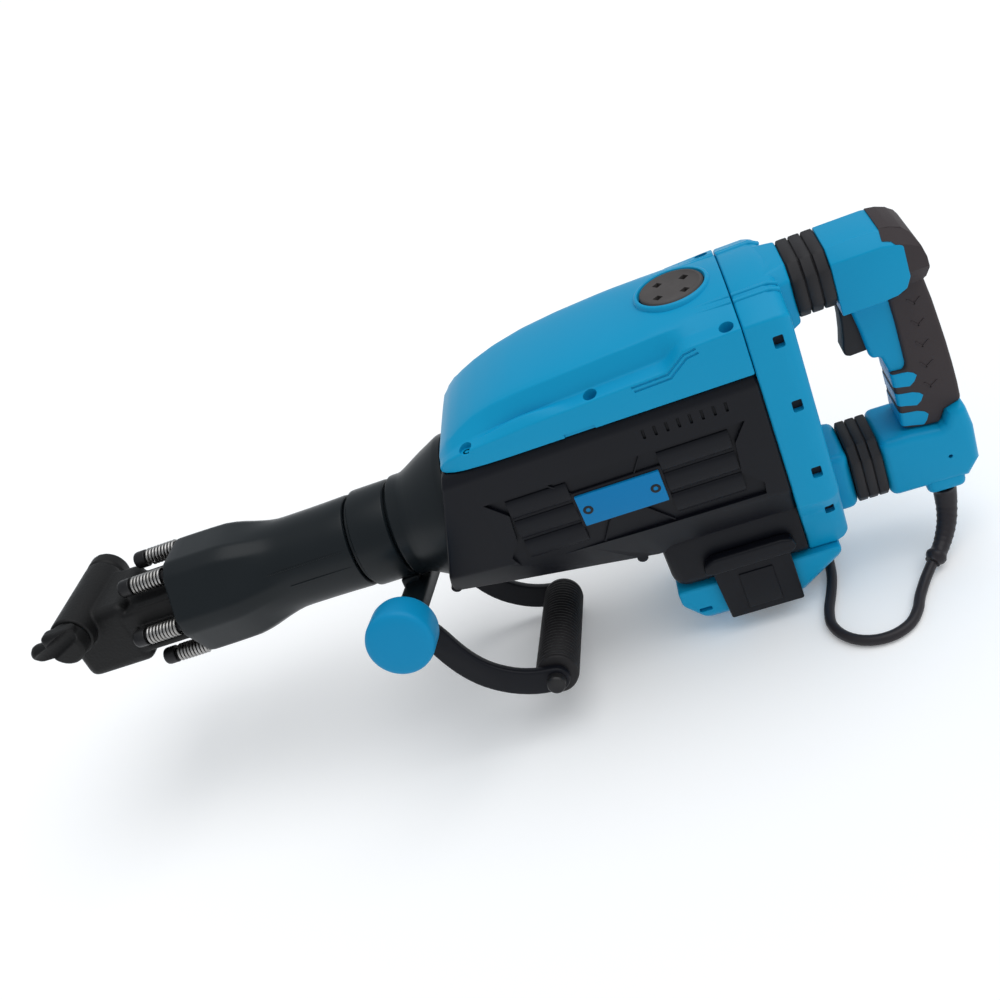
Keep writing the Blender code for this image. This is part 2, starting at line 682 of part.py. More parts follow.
def make_handle_mounts(finishes):
    """Bellows, guide rods and damper springs, one set above and one below."""
    make_bellows("upper_bellows", UPPER_ARM_END + GAP, HANDLE_TOP_START - GAP, 27.5, 71, 112,
                 finishes)
    make_bellows("lower_bellows", LOWER_ARM_END + GAP, HANDLE_BOTTOM_START - GAP, 26, -96, -45,
                 finishes)
    for name, start, height in (("upper", UPPER_ARM_END, UPPER_ROD_HEIGHT),
                                ("lower", LOWER_ARM_END, LOWER_ROD_HEIGHT)):
        turned_rod(f"{name}_guide_rod", start - 10, start + 42, 6, height, finishes)
        make_damper_spring(f"{name}_damper_spring", start, height, finishes)


def turned_rod(name, start, end, radius, height, finishes):
    """A plain round rod along the tool, at the given height."""
    mesh = turned(name, [(end, 0), (end, radius), (start, radius), (start, 0)], 16)
    add_object(name, mesh, finishes["bright_steel"], tool_point(0, 0, height), ALONG_AXIS)


def make_damper_spring(name, start, height, finishes):
    """The spring round a guide rod that pushes the handle back out."""
    turns, per_turn, length, radius = 3, 8, 19.0, 9.5
    points = []
    for k in range(turns * per_turn + 1):
        angle = 2 * math.pi * k / per_turn
        along = start + 2 + length * k / (turns * per_turn)
        points.append(tool_point(along, radius * math.cos(angle),
                                 height + radius * math.sin(angle)))
    add_object(name, tube(name, points, 1.2, 1), finishes["spring_steel"])


# ---------------------------------------------------------------- side handle


def grip_turn():
    """Turns local Z along the grip, towards the knob, and keeps local X along the tool."""
    return (math.radians(90 - SWING), 0, 0)


def make_side_handle(finishes):
    """Clamp, two curved arms, clamp bolt with its knob, and the ribbed grip on its rod."""
    swing = math.radians(-SWING)
    band = turned("handle_clamp", [(187, 39), (157, 39), (156, 38), (156, 35.4), (187, 35.4)], 36)
    band.transform(Matrix.Rotation(math.pi / 2, 4, "Y"))
    clamp = add_object("handle_clamp", band, finishes["black_paint"], tool_point(0),
                       (swing, 0, 0))
    inner = ARM_SIDE - ARM_THICKNESS / 2 - GAP
    make_clamp_block(clamp, "clamp_web", (172, 187.0), (36.5, 46), 16, swing)
    make_clamp_block(clamp, "clamp_yoke", (173, 195), (41.2, 54), inner, swing)
    bolt_place = grip_point(CLAMP_BOLT_STATION, CLAMP_BOLT_DROP)
    hole = turned("clamp_bolt_hole", [(90, 0), (90, 4.9), (-90, 4.9), (-90, 0)], 16)
    combine(clamp, add_object("clamp_bolt_hole", hole, None, bolt_place, grip_turn()),
            "DIFFERENCE")

    outer = ARM_SIDE + ARM_THICKNESS / 2
    bolt = turned("clamp_bolt", [
        (outer + 14, 0), (outer + 14, 4.5), (-outer - GAP, 4.5), (-outer - GAP, 8),
        (-outer - 7, 8), (-outer - 7, 0)], 16)
    add_object("clamp_bolt", bolt, finishes["black_steel"], bolt_place, grip_turn())
    knob = turned("clamp_knob", [
        (outer + 1 + KNOB_LENGTH, 0), (outer + 1 + KNOB_LENGTH, KNOB_RADIUS - 3),
        (outer + KNOB_LENGTH - 2, KNOB_RADIUS - 0.4), (outer + 8, KNOB_RADIUS), (outer + 4, 22),
        (outer + 1, 20), (outer + 1, 4.8), (outer + 15, 4.8), (outer + 15, 0)], 36)
    add_object("clamp_knob", knob, finishes["blue_plastic"], bolt_place, grip_turn())
    for name, side in (("handle_arm_near", 1), ("handle_arm_far", -1)):
        make_arm(name, side, finishes)
    make_grip(finishes)


def make_clamp_block(clamp, name, stations, drops, reach, swing):
    """A block under the barrel, symmetric along the clamp bolt, joined to the band."""
    size = (stations[1] - stations[0], 2 * reach, drops[1] - drops[0])
    place = grip_point(sum(stations) / 2, sum(drops) / 2)
    piece = add_object(name, block(name, size), None, place, (swing, 0, 0))
    combine(clamp, piece, "UNION")


def arm_outline():
    """A bar that runs down from the clamp bolt and curves back to the grip, as (station, drop)."""
    centre = [(CLAMP_BOLT_STATION, CLAMP_BOLT_DROP), (196.5, 66), (204.5, 83), (213, 97),
              (224, 109), (239, 119), (255, 125), (GRIP_STATION, GRIP_DROP)]
    half = 10.0
    left, right = [], []
    for i, point in enumerate(centre):
        before, after = centre[max(i - 1, 0)], centre[min(i + 1, len(centre) - 1)]
        along = Vector((after[0] - before[0], after[1] - before[1])).normalized()
        left.append((point[0] - along.y * half, point[1] + along.x * half))
        right.append((point[0] + along.y * half, point[1] - along.x * half))
    return left + round_end(centre[-1], centre[-2], half) + right[::-1] + round_end(
        centre[0], centre[1], half)


def round_end(tip, inside, radius):
    """Points of a half round end between the two sides of a bar, from its left to its right."""
    along = Vector((tip[0] - inside[0], tip[1] - inside[1])).normalized()
    start = math.atan2(along.x, -along.y)
    points = []
    for k in range(1, 5):
        angle = start - math.pi * k / 5
        points.append((tip[0] + radius * math.cos(angle), tip[1] + radius * math.sin(angle)))
    return points


def make_arm(name, side, finishes):
    """One arm of the loop, with its two bolt holes."""
    local = [(station - CLAMP_BOLT_STATION, CLAMP_BOLT_DROP - drop)
             for station, drop in arm_outline()]
    mesh = plate(name, local, ARM_THICKNESS)
    place = grip_point(CLAMP_BOLT_STATION, CLAMP_BOLT_DROP, side * ARM_SIDE)
    arm = add_object(name, mesh, finishes["black_paint"], place, grip_turn())
    for hole, station, drop in (("pivot", CLAMP_BOLT_STATION, CLAMP_BOLT_DROP),
                                ("grip", GRIP_STATION, GRIP_DROP)):
        drill = turned(f"{name}_{hole}_hole", [(9, 0), (9, 5), (-9, 5), (-9, 0)], 16)
        middle = grip_point(station, drop, side * ARM_SIDE)
        cutter = add_object(f"{name}_{hole}_hole", drill, None, middle, grip_turn())
        combine(arm, cutter, "DIFFERENCE")


def make_grip(finishes):
    """The through rod with its head and nut, and the rubber sleeve on it."""
    place = grip_point(GRIP_STATION, GRIP_DROP)
    outer = ARM_SIDE + ARM_THICKNESS / 2 + GAP
    rod = turned("grip_rod", [
        (outer + 8, 0), (outer + 8, 7), (outer, 7), (outer, 4.6), (-outer, 4.6), (-outer, 7),
        (-outer - 5, 7), (-outer - 5, 0)], 16)
    add_object("grip_rod", rod, finishes["black_steel"], place, grip_turn())
    reach = ARM_SIDE - ARM_THICKNESS / 2 - GAP
    sleeve = turned("grip_sleeve", [(reach, GRIP_RADIUS), (-reach, GRIP_RADIUS), (-reach, 5),
                                    (reach, 5)], 28)
    add_object("grip_sleeve", sleeve, finishes["black_rubber"], place, grip_turn())


# ---------------------------------------------------------------- mains lead


def make_cord(finishes):
    """Strain relief, the lead along the floor behind the foot, its coil and its plug."""
    sleeve_route = [tool_point(*p) for p in (
        (582, -15.6, -105.6), (582, -15.8, -111), (580, -20, -123), (576.5, -26, -132.5),
        (570.5, -33.5, -140.5), (564, -41, -145), (557, -47.5, -147.4))]
    points = smooth_points(sleeve_route, 0.008)
    relief = tapered_tube("strain_relief", points, 8.8, 5.6)
    add_object("strain_relief", relief, finishes["black_rubber"])

    floor = FOOT_HEIGHT + CORD_DIAMETER / 2 + 0.1
    knots = [tool_point(*p) for p in (
        (556.2, -48.5, -147.7), (547, -60.5, -150.6), (539.6, -73, floor), (533.5, -87, floor),
        (525.6, -97.5, floor), (513.3, -103.9, floor), (499.4, -104.5, floor),
        (486.6, -99.2, floor), (477.3, -89, floor), (473.1, -75.8, floor), (475, -61.5, floor),
        (480, -46, floor), (485, -28, floor), (487.5, -8, floor), (488.5, 14, floor),
        (489, 38, floor), (488.5, 62, floor), (486, 86, floor), (479.5, 107, floor),
        (464.5, 132, floor))]
    run = tube("cord_run", smooth_points(knots, CORD_DIAMETER * 2 * MM), CORD_DIAMETER / 2)
    add_object("cord_run", run, finishes["black_rubber"])

    half = COIL_SECTION / 2
    inner, outer = COIL_MEAN_RADIUS - half, COIL_MEAN_RADIUS + half
    low, high = FOOT_HEIGHT + 0.1, FOOT_HEIGHT + 0.1 + COIL_SECTION
    coil = turned("cord_coil", [(high - 4, outer), (low + 4, outer), (low, outer - 4),
                                (low, inner + 4), (low + 4, inner), (high - 4, inner),
                                (high, inner + 4), (high, outer - 4)], 28)
    centre_station, centre_side = COIL_CENTRE
    add_object("cord_coil", coil, finishes["black_rubber"],
               tool_point(centre_station, centre_side))
    make_plug(high + GAP, finishes)


def tapered_tube(name, points, start_radius, end_radius, sides=12):
    """A round sleeve that narrows evenly along the points."""
    sections = []
    mesh = bpy.data.meshes.new(name)
    work = bmesh.new()
    for i, point in enumerate(points):
        along = (points[min(i + 1, len(points) - 1)] - points[max(i - 1, 0)]).normalized()
        across = along.cross(Vector((0, 0, 1))).normalized()
        other = along.cross(across)
        radius = (start_radius + (end_radius - start_radius) * i / (len(points) - 1)) * MM
        ring = []
        for k in range(sides):
            angle = 2 * math.pi * k / sides
            ring.append(work.verts.new(
                point + radius * (math.cos(angle) * across + math.sin(angle) * other)))
        sections.append(ring)
    for before, after in zip(sections, sections[1:]):
        for k in range(sides):
            j = (k + 1) % sides
            work.faces.new((before[k], before[j], after[j], after[k]))
    work.faces.new(sections[0])
    work.faces.new(sections[-1])
    bmesh.ops.recalc_face_normals(work, faces=work.faces)
    work.to_mesh(mesh)
    work.free()
    return mesh


def make_plug(bottom, finishes):
    """A two-pin plug resting on the coil, its pins pointing rearwards."""
    station, side = COIL_CENTRE[0] + 13, COIL_CENTRE[1] - COIL_MEAN_RADIUS
    body = side_plate("plug", [
        (station + 24, bottom), (station - 26, bottom + 4), (station - 26, bottom + 18),
        (station + 8, bottom + 26), (station + 24, bottom + 26)], side - 18, side + 18,
        finishes["black_rubber"])
    for k, offset in enumerate((-9.5, 9.5)):
        pin = turned(f"plug_pin_{k}", [(19, 0), (19, 2.4), (-2, 2.4), (-2, 0)], 10)
        place = tool_point(station + 24, side + offset, bottom + 13)
        piece = add_object(f"plug_pin_{k}", pin, None, place, ALONG_AXIS)
        combine(body, piece, "UNION")


# ---------------------------------------------------------------- the whole tool


def main():
    clear_scene()
    finishes = {
        "black_paint": finish("black_paint", (0.012, 0.013, 0.017), 0.32),
        "black_plastic": finish("black_plastic", (0.015, 0.016, 0.022), 0.45),
        "blue_plastic": finish("blue_plastic", (0.012, 0.34, 0.62), 0.38),
        "cap_plastic": finish("cap_plastic", (0.05, 0.045, 0.045), 0.6),
        "grey_plastic": finish("grey_plastic", (0.2, 0.2, 0.21), 0.5),
        "cast_iron": finish("cast_iron", (0.03, 0.03, 0.032), 0.55, 0.6),
        "black_steel": finish("black_steel", (0.02, 0.02, 0.022), 0.4, 0.7),
        "bright_steel": finish("bright_steel", (0.6, 0.6, 0.6), 0.25, 1.0),
        "spring_steel": finish("spring_steel", (0.55, 0.54, 0.52), 0.35, 1.0),
        "lamination_steel": finish("lamination_steel", (0.35, 0.33, 0.31), 0.5, 0.8),
        "grip_rubber": finish("grip_rubber", (0.045, 0.036, 0.038), 0.75),
        "black_rubber": finish("black_rubber", (0.018, 0.018, 0.02), 0.7),
    }
    make_nose(finishes)
    make_barrel(finishes)
    make_striking_train(finishes)
    make_motor(finishes)
    make_main_housing(finishes)
    make_top_cover(finishes)
    make_rear_cover(finishes)
    make_motor_cap(finishes)
    make_name_plate(finishes)
    make_rear_handle(finishes)
    make_handle_mounts(finishes)
    make_side_handle(finishes)
    make_cord(finishes)


main()
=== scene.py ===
"""Looks of the electric demolition hammer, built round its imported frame.

Sizes are in millimetres on the tool itself, and become metres when a piece is set in its place. A
station is a distance along the tool axis, counted rearwards from the rim of the nose cover. A
height is counted up from the tool axis, and a side distance is positive to the far side.
"""

from __future__ import annotations

import json
import logging
import math
from collections.abc import Callable, Iterable, Sequence
from dataclasses import dataclass
from enum import Enum

import bmesh
import bpy
from bpy.types import Material, Node, Object
from mathutils import Matrix, Vector

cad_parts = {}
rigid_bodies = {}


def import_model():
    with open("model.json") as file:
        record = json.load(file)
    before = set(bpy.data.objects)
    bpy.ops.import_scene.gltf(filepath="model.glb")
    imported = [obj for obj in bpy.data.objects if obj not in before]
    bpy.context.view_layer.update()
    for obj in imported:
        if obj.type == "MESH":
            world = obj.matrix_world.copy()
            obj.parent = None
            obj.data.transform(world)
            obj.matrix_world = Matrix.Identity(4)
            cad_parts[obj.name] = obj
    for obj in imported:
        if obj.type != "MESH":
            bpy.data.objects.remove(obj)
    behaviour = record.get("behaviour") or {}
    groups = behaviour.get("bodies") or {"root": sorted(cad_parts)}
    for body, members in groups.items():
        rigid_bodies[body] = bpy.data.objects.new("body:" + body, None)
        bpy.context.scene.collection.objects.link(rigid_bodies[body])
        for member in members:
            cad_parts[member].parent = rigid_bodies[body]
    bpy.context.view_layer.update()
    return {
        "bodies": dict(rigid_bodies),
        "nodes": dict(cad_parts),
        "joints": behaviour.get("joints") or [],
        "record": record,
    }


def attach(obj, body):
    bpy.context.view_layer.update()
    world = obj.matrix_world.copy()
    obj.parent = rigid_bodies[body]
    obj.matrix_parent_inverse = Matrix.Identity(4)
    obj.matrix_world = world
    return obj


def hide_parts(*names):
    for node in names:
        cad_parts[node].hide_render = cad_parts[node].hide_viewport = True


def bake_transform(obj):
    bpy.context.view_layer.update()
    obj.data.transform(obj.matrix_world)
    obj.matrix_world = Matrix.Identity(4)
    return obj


log = logging.getLogger("demolition_hammer")

Profile = Sequence[tuple[float, float]]
Point = tuple[float, float, float]

MM = 0.001
STATION_ZERO = -244.0  # where the stations start, along the frame's X
SIDE_ZERO = 26.7  # the tool axis, along the frame's Y
AXIS_HEIGHT = 156.0  # the tool axis over the floor
FLOOR = -AXIS_HEIGHT
NOSE_TURN = math.radians(-5.0)  # of the nose about the tool axis
SWING = math.radians(14.0)  # of the side handle about the tool axis, towards the near side
BOTH_SIDES = (-1, 1)  # the near side and the far side


class Body(str, Enum):
    """The bodies of the frame that pieces ride on."""

    TOOL = "tool"
    LEVER = "stop_lever"
    CLAMP = "side_clamp"
    LOOP = "side_loop"
    KNOB = "knob"
    HANDLE = "handle"
    TRIGGER = "trigger"


# ---------------------------------------------------------------- places


def tool_place() -> Matrix:
    """Millimetres on the tool to metres in the frame."""
    shift = Matrix.Translation(Vector((STATION_ZERO, SIDE_ZERO, AXIS_HEIGHT)) * MM)
    return shift @ Matrix.Scale(MM, 4)


def nose_place() -> Matrix:
    """As tool_place, for the nose, which is turned a little about the tool axis."""
    return tool_place() @ Matrix.Rotation(NOSE_TURN, 4, "X")


def along_tool(station: float = 0.0, side: float = 0.0, height: float = 0.0) -> Matrix:
    """Turns a piece made about local Z to run along the tool axis, rearwards."""
    return Matrix.Translation((station, side, height)) @ Matrix.Rotation(math.pi / 2, 4, "Y")


def across_tool(station: float, side: float, height: float) -> Matrix:
    """Turns a piece made about local Z to run across the tool, towards the near side."""
    return Matrix.Translation((station, side, height)) @ Matrix.Rotation(math.pi / 2, 4, "X")


def side_handle_place(station: float, drop: float, along: float = 0.0) -> Matrix:
    """A place on the side handle: local Z runs along the grip towards the knob, local X rearwards.

    Args:
        station: Distance along the tool.
        drop: Distance from the tool axis, down along the handle.
        along: Distance along the grip, towards the knob.

    Returns:
        The matrix from millimetres there to metres in the frame.
    """
    side = -drop * math.sin(SWING) - along * math.cos(SWING)
    height = -drop * math.cos(SWING) + along * math.sin(SWING)
    turn = Matrix.Rotation(math.pi / 2 - SWING, 4, "X")
    return tool_place() @ Matrix.Translation((station, side, height)) @ turn


# ---------------------------------------------------------------- meshes


def settle(name: str, work: bmesh.types.BMesh) -> Object:
    """Makes an object at the origin from a bmesh, which it frees, and links it to the scene."""
    mesh = bpy.data.meshes.new(name)
    work.to_mesh(mesh)
    work.free()
    obj = bpy.data.objects.new(name, mesh)
    bpy.context.scene.collection.objects.link(obj)
    return obj


def new_object(name: str, work: bmesh.types.BMesh, place: Matrix | None = None) -> Object:
    """Merges a finished bmesh, turns its faces outwards and makes an object of it.

    Args:
        name: The piece's name.
        work: The mesh in millimetres.
        place: Where it goes. None leaves it where it was made.

    Returns:
        The new object.
    """
    bmesh.ops.remove_doubles(work, verts=work.verts, dist=1e-4)
    bmesh.ops.recalc_face_normals(work, faces=work.faces)
    obj = settle(name, work)
    return obj if place is None else set_place(obj, place)


def skin(work: bmesh.types.BMesh, rings: Sequence[Sequence[Vector]], capped: bool = True) -> None:
    """Joins rings of equal point count by quads, and caps the two ends."""
    made = [[work.verts.new(point) for point in ring] for ring in rings]
    count = len(made[0])
    for before, after in zip(made, made[1:]):
        for i in range(count):
            j = (i + 1) % count
            work.faces.new((before[i], before[j], after[j], after[i]))
    if capped:
        work.faces.new(made[0])
        work.faces.new(made[-1])


def lathe(name: str, profile: Profile, place: Matrix | None = None, steps: int = 64,
          swell: Callable[[float, float, float], float] | None = None) -> Object:
    """Turns a profile about local Z.

    Args:
        name: The piece's name.
        profile: (height, radius) points, along the outside and, for a hollow piece, back inside.
        place: Where it goes.
        steps: How many sides the turning has.
        swell: Adds to a radius, from the height, the radius and the angle, for a lobed piece.

    Returns:
        The turned piece, closed where the profile ends on the axis or meets itself.
    """
    rings = []
    for height, radius in profile:
        ring = []
        for k in range(steps):
            angle = 2 * math.pi * k / steps
            reach = radius + (swell(height, radius, angle) if swell and radius > 0 else 0.0)
            ring.append(Vector((reach * math.cos(angle), reach * math.sin(angle), height)))
        rings.append(ring)
    hollow = profile[0][1] > 0 and profile[-1][1] > 0
    if hollow:
        rings.append(rings[0])
    work = bmesh.new()
    skin(work, rings, capped=False)
    return new_object(name, work, place)


def loft(name: str, rings: Sequence[Sequence[Point]]) -> Object:
    """A closed skin through rings of points in millimetres."""
    work = bmesh.new()
    skin(work, [[Vector(point) for point in ring] for ring in rings])
    return new_object(name, work)


def prism(name: str, outline: Profile, first: float, second: float) -> Object:
    """An outline in (station, height), thick between two side distances in either order."""
    return loft(name, [[(x, side, z) for x, z in outline] for side in sorted((first, second))])


def block(name: str, low: Point, high: Point) -> Object:
    """A box between two corners, in millimetres. Their side distances may be in either order."""
    outline = [(low[0], low[2]), (high[0], low[2]), (high[0], high[2]), (low[0], high[2])]
    return prism(name, outline, low[1], high[1])


def drill(name: str, place: Matrix, radius: float, length: float, steps: int = 32
          ) -> Object:
    """A round bar about the local Z of a place, in millimetres, its middle at the place."""
    half = length / 2
    return lathe(name, [(-half, 0), (-half, radius), (half, radius), (half, 0)], place, steps)


def apply_modifiers(obj: Object) -> Object:
    """Settles every modifier into the object's own mesh."""
    bpy.context.view_layer.update()
    graph = bpy.context.evaluated_depsgraph_get()
    mesh = bpy.data.meshes.new_from_object(obj.evaluated_get(graph))
    obj.modifiers.clear()
    old = obj.data
    obj.data = mesh
    bpy.data.meshes.remove(old)
    mesh.name = obj.name
    return obj


def combine(target: Object, tools: Iterable[Object],
            operation: str = "DIFFERENCE") -> Object:
    """Runs an exact Boolean for each tool in turn, and removes the tools."""
    used = list(tools)
    for tool in used:
        modifier = target.modifiers.new(tool.name, "BOOLEAN")
        modifier.operation = operation
        modifier.solver = "EXACT"
        modifier.object = tool
    apply_modifiers(target)
    for tool in used:
        bpy.data.objects.remove(tool)
    return target


def round_edges(obj: Object, width: float, segments: int = 3, angle: float = 35.0
                ) -> Object:
    """Rounds the edges that turn by more than an angle."""
    bevel = obj.modifiers.new("rounded", "BEVEL")
    bevel.width = width
    bevel.segments = segments
    bevel.limit_method = "ANGLE"
    bevel.angle_limit = math.radians(angle)
    bevel.harden_normals = False
    return apply_modifiers(obj)


def set_place(obj: Object, place: Matrix) -> Object:
    """Moves a piece made in millimetres to its place in the frame."""
    obj.data.transform(place)
    return obj


def join(name: str, pieces: Sequence[Object]) -> Object:
    """Puts several meshes with their materials into one object, and removes them."""
    work = bmesh.new()
    slots: list[Material] = []
    for piece in pieces:
        start = len(work.faces)
        work.from_mesh(piece.data)
        work.faces.ensure_lookup_table()
        shift = len(slots)
        slots.extend(piece.data.materials)
        for face in work.faces[start:]:
            face.material_index += shift
        bpy.data.objects.remove(piece)
    joined = settle(name, work)
    for material in slots:
        joined.data.materials.append(material)
    return joined


def smooth_curve(knots: Sequence[Vector], spacing: float) -> list[Vector]:
    """Points on a Catmull-Rom curve through the knots, about one spacing apart."""
    ends = [2 * knots[0] - knots[1], *knots, 2 * knots[-1] - knots[-2]]
    points = []
    for i in range(1, len(ends) - 2):
        a, b, c, d = ends[i - 1:i + 3]
        pieces = max(1, round((c - b).length / spacing))
        for k in range(pieces):
            t = k / pieces
            first = 2 * b + (c - a) * t
            second = (2 * a - 5 * b + 4 * c - d) * t ** 2
            third = (3 * b - 3 * c + d - a) * t ** 3
            points.append((first + second + third) / 2)
    points.append(Vector(knots[-1]))
    return points


def sweep(name: str, points: Sequence[Vector], radii: Sequence[float], sides: int = 16
          ) -> Object:
    """A closed tube along points, with a radius at each in the unit of the points."""
    rings = []
    across = Vector((0, 0, 1))
    for i, point in enumerate(points):
        along = (points[min(i + 1, len(points) - 1)] - points[max(i - 1, 0)]).normalized()
        across = (across - across.dot(along) * along).normalized()
        other = along.cross(across)
        rings.append([
            point + radii[i] * (math.cos(2 * math.pi * k / sides) * across
                                + math.sin(2 * math.pi * k / sides) * other)
            for k in range(sides)])
    work = bmesh.new()
    skin(work, rings)
    bmesh.ops.recalc_face_normals(work, faces=work.faces)
    return settle(name, work)


def step(value: float, low: float, high: float) -> float:
    """A smooth step from 0 at low to 1 at high."""
    t = min(1.0, max(0.0, (value - low) / (high - low)))
    return t * t * (3 - 2 * t)


def between(table: Profile, x: float) -> float:
    """Linear interpolation in a table of (x, value)."""
    for (x0, v0), (x1, v1) in zip(table, table[1:]):
        if x <= x1:
            t = max(0.0, (x - x0) / (x1 - x0))
            return v0 + (v1 - v0) * t
    return table[-1][1]


# ---------------------------------------------------------------- node trees that repeat a piece


def set_inputs(node: Node, values: dict[str, object]) -> None:
    """Gives a node's named inputs their own values."""
    for name, value in values.items():
        node.inputs[name].default_value = value


class NamedTree:
    """A node tree with named inputs and outputs, and short ways to build and to run it."""

    def __init__(self, name: str, kind: str, inputs: dict[str, str], outputs: dict[str, str]
                 ) -> None:
        """Starts the tree.

        Args:
            name: The tree's name.
            kind: GeometryNodeTree or ShaderNodeTree.
            inputs: The kind of socket for each input's name.
            outputs: The same for what the tree puts out.
        """
        self.tree = bpy.data.node_groups.new(name, kind)
        self.identifiers: dict[str, str] = {}
        for way, sockets in (("INPUT", inputs), ("OUTPUT", outputs)):
            for label, socket_kind in sockets.items():
                socket = self.tree.interface.new_socket(
                    label, in_out=way, socket_type=f"NodeSocket{socket_kind}")
                if way == "INPUT":
                    self.identifiers[label] = socket.identifier
        self.given = self.node("NodeGroupInput").outputs
        self.result = self.node("NodeGroupOutput").inputs

    def node(self, kind: str) -> Node:
        """Adds a node."""
        return self.tree.nodes.new(kind)

    def link(self, *pairs: tuple[bpy.types.NodeSocket, bpy.types.NodeSocket]) -> None:
        """Links each pair's output to its input."""
        for source, target in pairs:
            self.tree.links.new(source, target)

    def put_out(self, geometry: bpy.types.NodeSocket) -> None:
        """Ends a geometry tree: real copies, dressed in the material called Finish."""
        real = self.node("GeometryNodeRealizeInstances")
        dressed = self.node("GeometryNodeSetMaterial")
        self.link((geometry, real.inputs[0]), (real.outputs[0], dressed.inputs["Geometry"]),
                  (self.given["Finish"], dressed.inputs["Material"]),
                  (dressed.outputs[0], self.result[0]))

    def settle_on(self, obj: Object, values: dict[str, object]) -> Object:
        """Runs a geometry tree on an object and settles the result into its mesh.

        Args:
            obj: The object.
            values: A value for each of the tree's inputs but the geometry.

        Returns:
            The same object, now a plain mesh.
        """
        modifier = obj.modifiers.new("tree", "NODES")
        modifier.node_group = self.tree
        for name, value in values.items():
            modifier[self.identifiers[name]] = value
        return apply_modifiers(obj)


class RepeatTree(NamedTree):
    """A Geometry Nodes tree that repeats the object's own mesh in a row and round an axis."""

    def __init__(self) -> None:
        """Builds the tree once."""
        super().__init__("repeat_in_row_and_ring", "GeometryNodeTree", {
            "Geometry": "Geometry", "Count": "Int", "Pitch": "Vector", "Turn": "Vector",
            "Finish": "Material"}, {"Geometry": "Geometry"})
        line, index = self.node("GeometryNodeMeshLine"), self.node("GeometryNodeInputIndex")
        scaled = self.node("ShaderNodeVectorMath")
        scaled.operation = "SCALE"
        copies = self.node("GeometryNodeInstanceOnPoints")
        self.link((self.given["Count"], line.inputs["Count"]),
                  (self.given["Pitch"], line.inputs["Offset"]),
                  (self.given["Turn"], scaled.inputs[0]),
                  (index.outputs[0], scaled.inputs["Scale"]),
                  (line.outputs[0], copies.inputs["Points"]),
                  (self.given["Geometry"], copies.inputs["Instance"]),
                  (scaled.outputs["Vector"], copies.inputs["Rotation"]))
        self.put_out(copies.outputs[0])

    def run(self, obj: Object, count: int, finish: Material, pitch: Point = (0, 0, 0),
            turn: Point = (0, 0, 0)) -> Object:
        """Repeats the object's mesh, and settles the result.

        Args:
            obj: One copy of the piece, in millimetres.
            count: How many copies.
            finish: The material of them all.
            pitch: The step from copy to copy.
            turn: The turn from copy to copy, in radians about X, Y and Z.

        Returns:
            The same object, now holding all the copies as plain mesh.
        """
        return self.settle_on(obj, {"Count": count, "Pitch": pitch, "Turn": turn,
                                    "Finish": finish})


class CoilTree(NamedTree):
    """A Geometry Nodes tree that winds a round wire into a helix about local Z."""

    def __init__(self) -> None:
        """Builds the tree once."""
        super().__init__("wound_wire", "GeometryNodeTree", {
            "Geometry": "Geometry", "Turns": "Float", "Radius": "Float", "Wire": "Float",
            "Height": "Float", "Finish": "Material"}, {"Geometry": "Geometry"})
        spiral = self.node("GeometryNodeCurveSpiral")
        set_inputs(spiral, {"Resolution": 18})
        section = self.node("GeometryNodeCurvePrimitiveCircle")
        set_inputs(section, {"Resolution": 8})
        wound = self.node("GeometryNodeCurveToMesh")
        set_inputs(wound, {"Fill Caps": True})
        self.link((self.given["Turns"], spiral.inputs["Rotations"]),
                  (self.given["Radius"], spiral.inputs["Start Radius"]),
                  (self.given["Radius"], spiral.inputs["End Radius"]),
                  (self.given["Height"], spiral.inputs["Height"]),
                  (self.given["Wire"], section.inputs["Radius"]),
                  (spiral.outputs[0], wound.inputs["Curve"]),
                  (section.outputs[0], wound.inputs["Profile Curve"]))
        self.put_out(wound.outputs[0])

    def wind(self, name: str, turns: float, radius: float, wire: float, height: float,
             finish: Material) -> Object:
        """Winds one spring from height 0 up to the given height, in millimetres."""
        return self.settle_on(settle(name, bmesh.new()), {
            "Turns": turns, "Radius": radius, "Wire": wire, "Height": height, "Finish": finish})


# ---------------------------------------------------------------- finishes


class GrainGroup(NamedTree):
    """A shader node group: moulded or cast grain with soft patches, as height, colour and mask."""

    def __init__(self) -> None:
        """Builds the group once."""
        super().__init__("surface_grain", "ShaderNodeTree", {
            "Grain Scale": "Float", "Patch Scale": "Float", "Patch Amount": "Float",
            "Base": "Color", "Patch": "Color"},
            {"Color": "Color", "Height": "Float", "Mask": "Float"})
        place = self.node("ShaderNodeTexCoord")
        fine, patch = self.node("ShaderNodeTexNoise"), self.node("ShaderNodeTexNoise")
        for noise, detail in ((fine, 2.0), (patch, 5.0)):
            set_inputs(noise, {"Detail": detail})
            self.link((place.outputs["Object"], noise.inputs["Vector"]))
        spread = self.node("ShaderNodeMapRange")
        set_inputs(spread, {"From Min": 0.35, "From Max": 0.7})
        amount = self.node("ShaderNodeMath")
        amount.operation = "MULTIPLY"
        mixed = self.node("ShaderNodeMix")
        mixed.data_type = "RGBA"
        self.link((self.given["Grain Scale"], fine.inputs["Scale"]),
                  (self.given["Patch Scale"], patch.inputs["Scale"]),
                  (patch.outputs["Fac"], spread.inputs["Value"]),
                  (spread.outputs[0], amount.inputs[0]),
                  (self.given["Patch Amount"], amount.inputs[1]),
                  (amount.outputs[0], mixed.inputs["Factor"]),
                  (self.given["Base"], mixed.inputs["A"]),
                  (self.given["Patch"], mixed.inputs["B"]),
                  (mixed.outputs["Result"], self.result["Color"]),
                  (fine.outputs["Fac"], self.result["Height"]),
                  (amount.outputs[0], self.result["Mask"]))


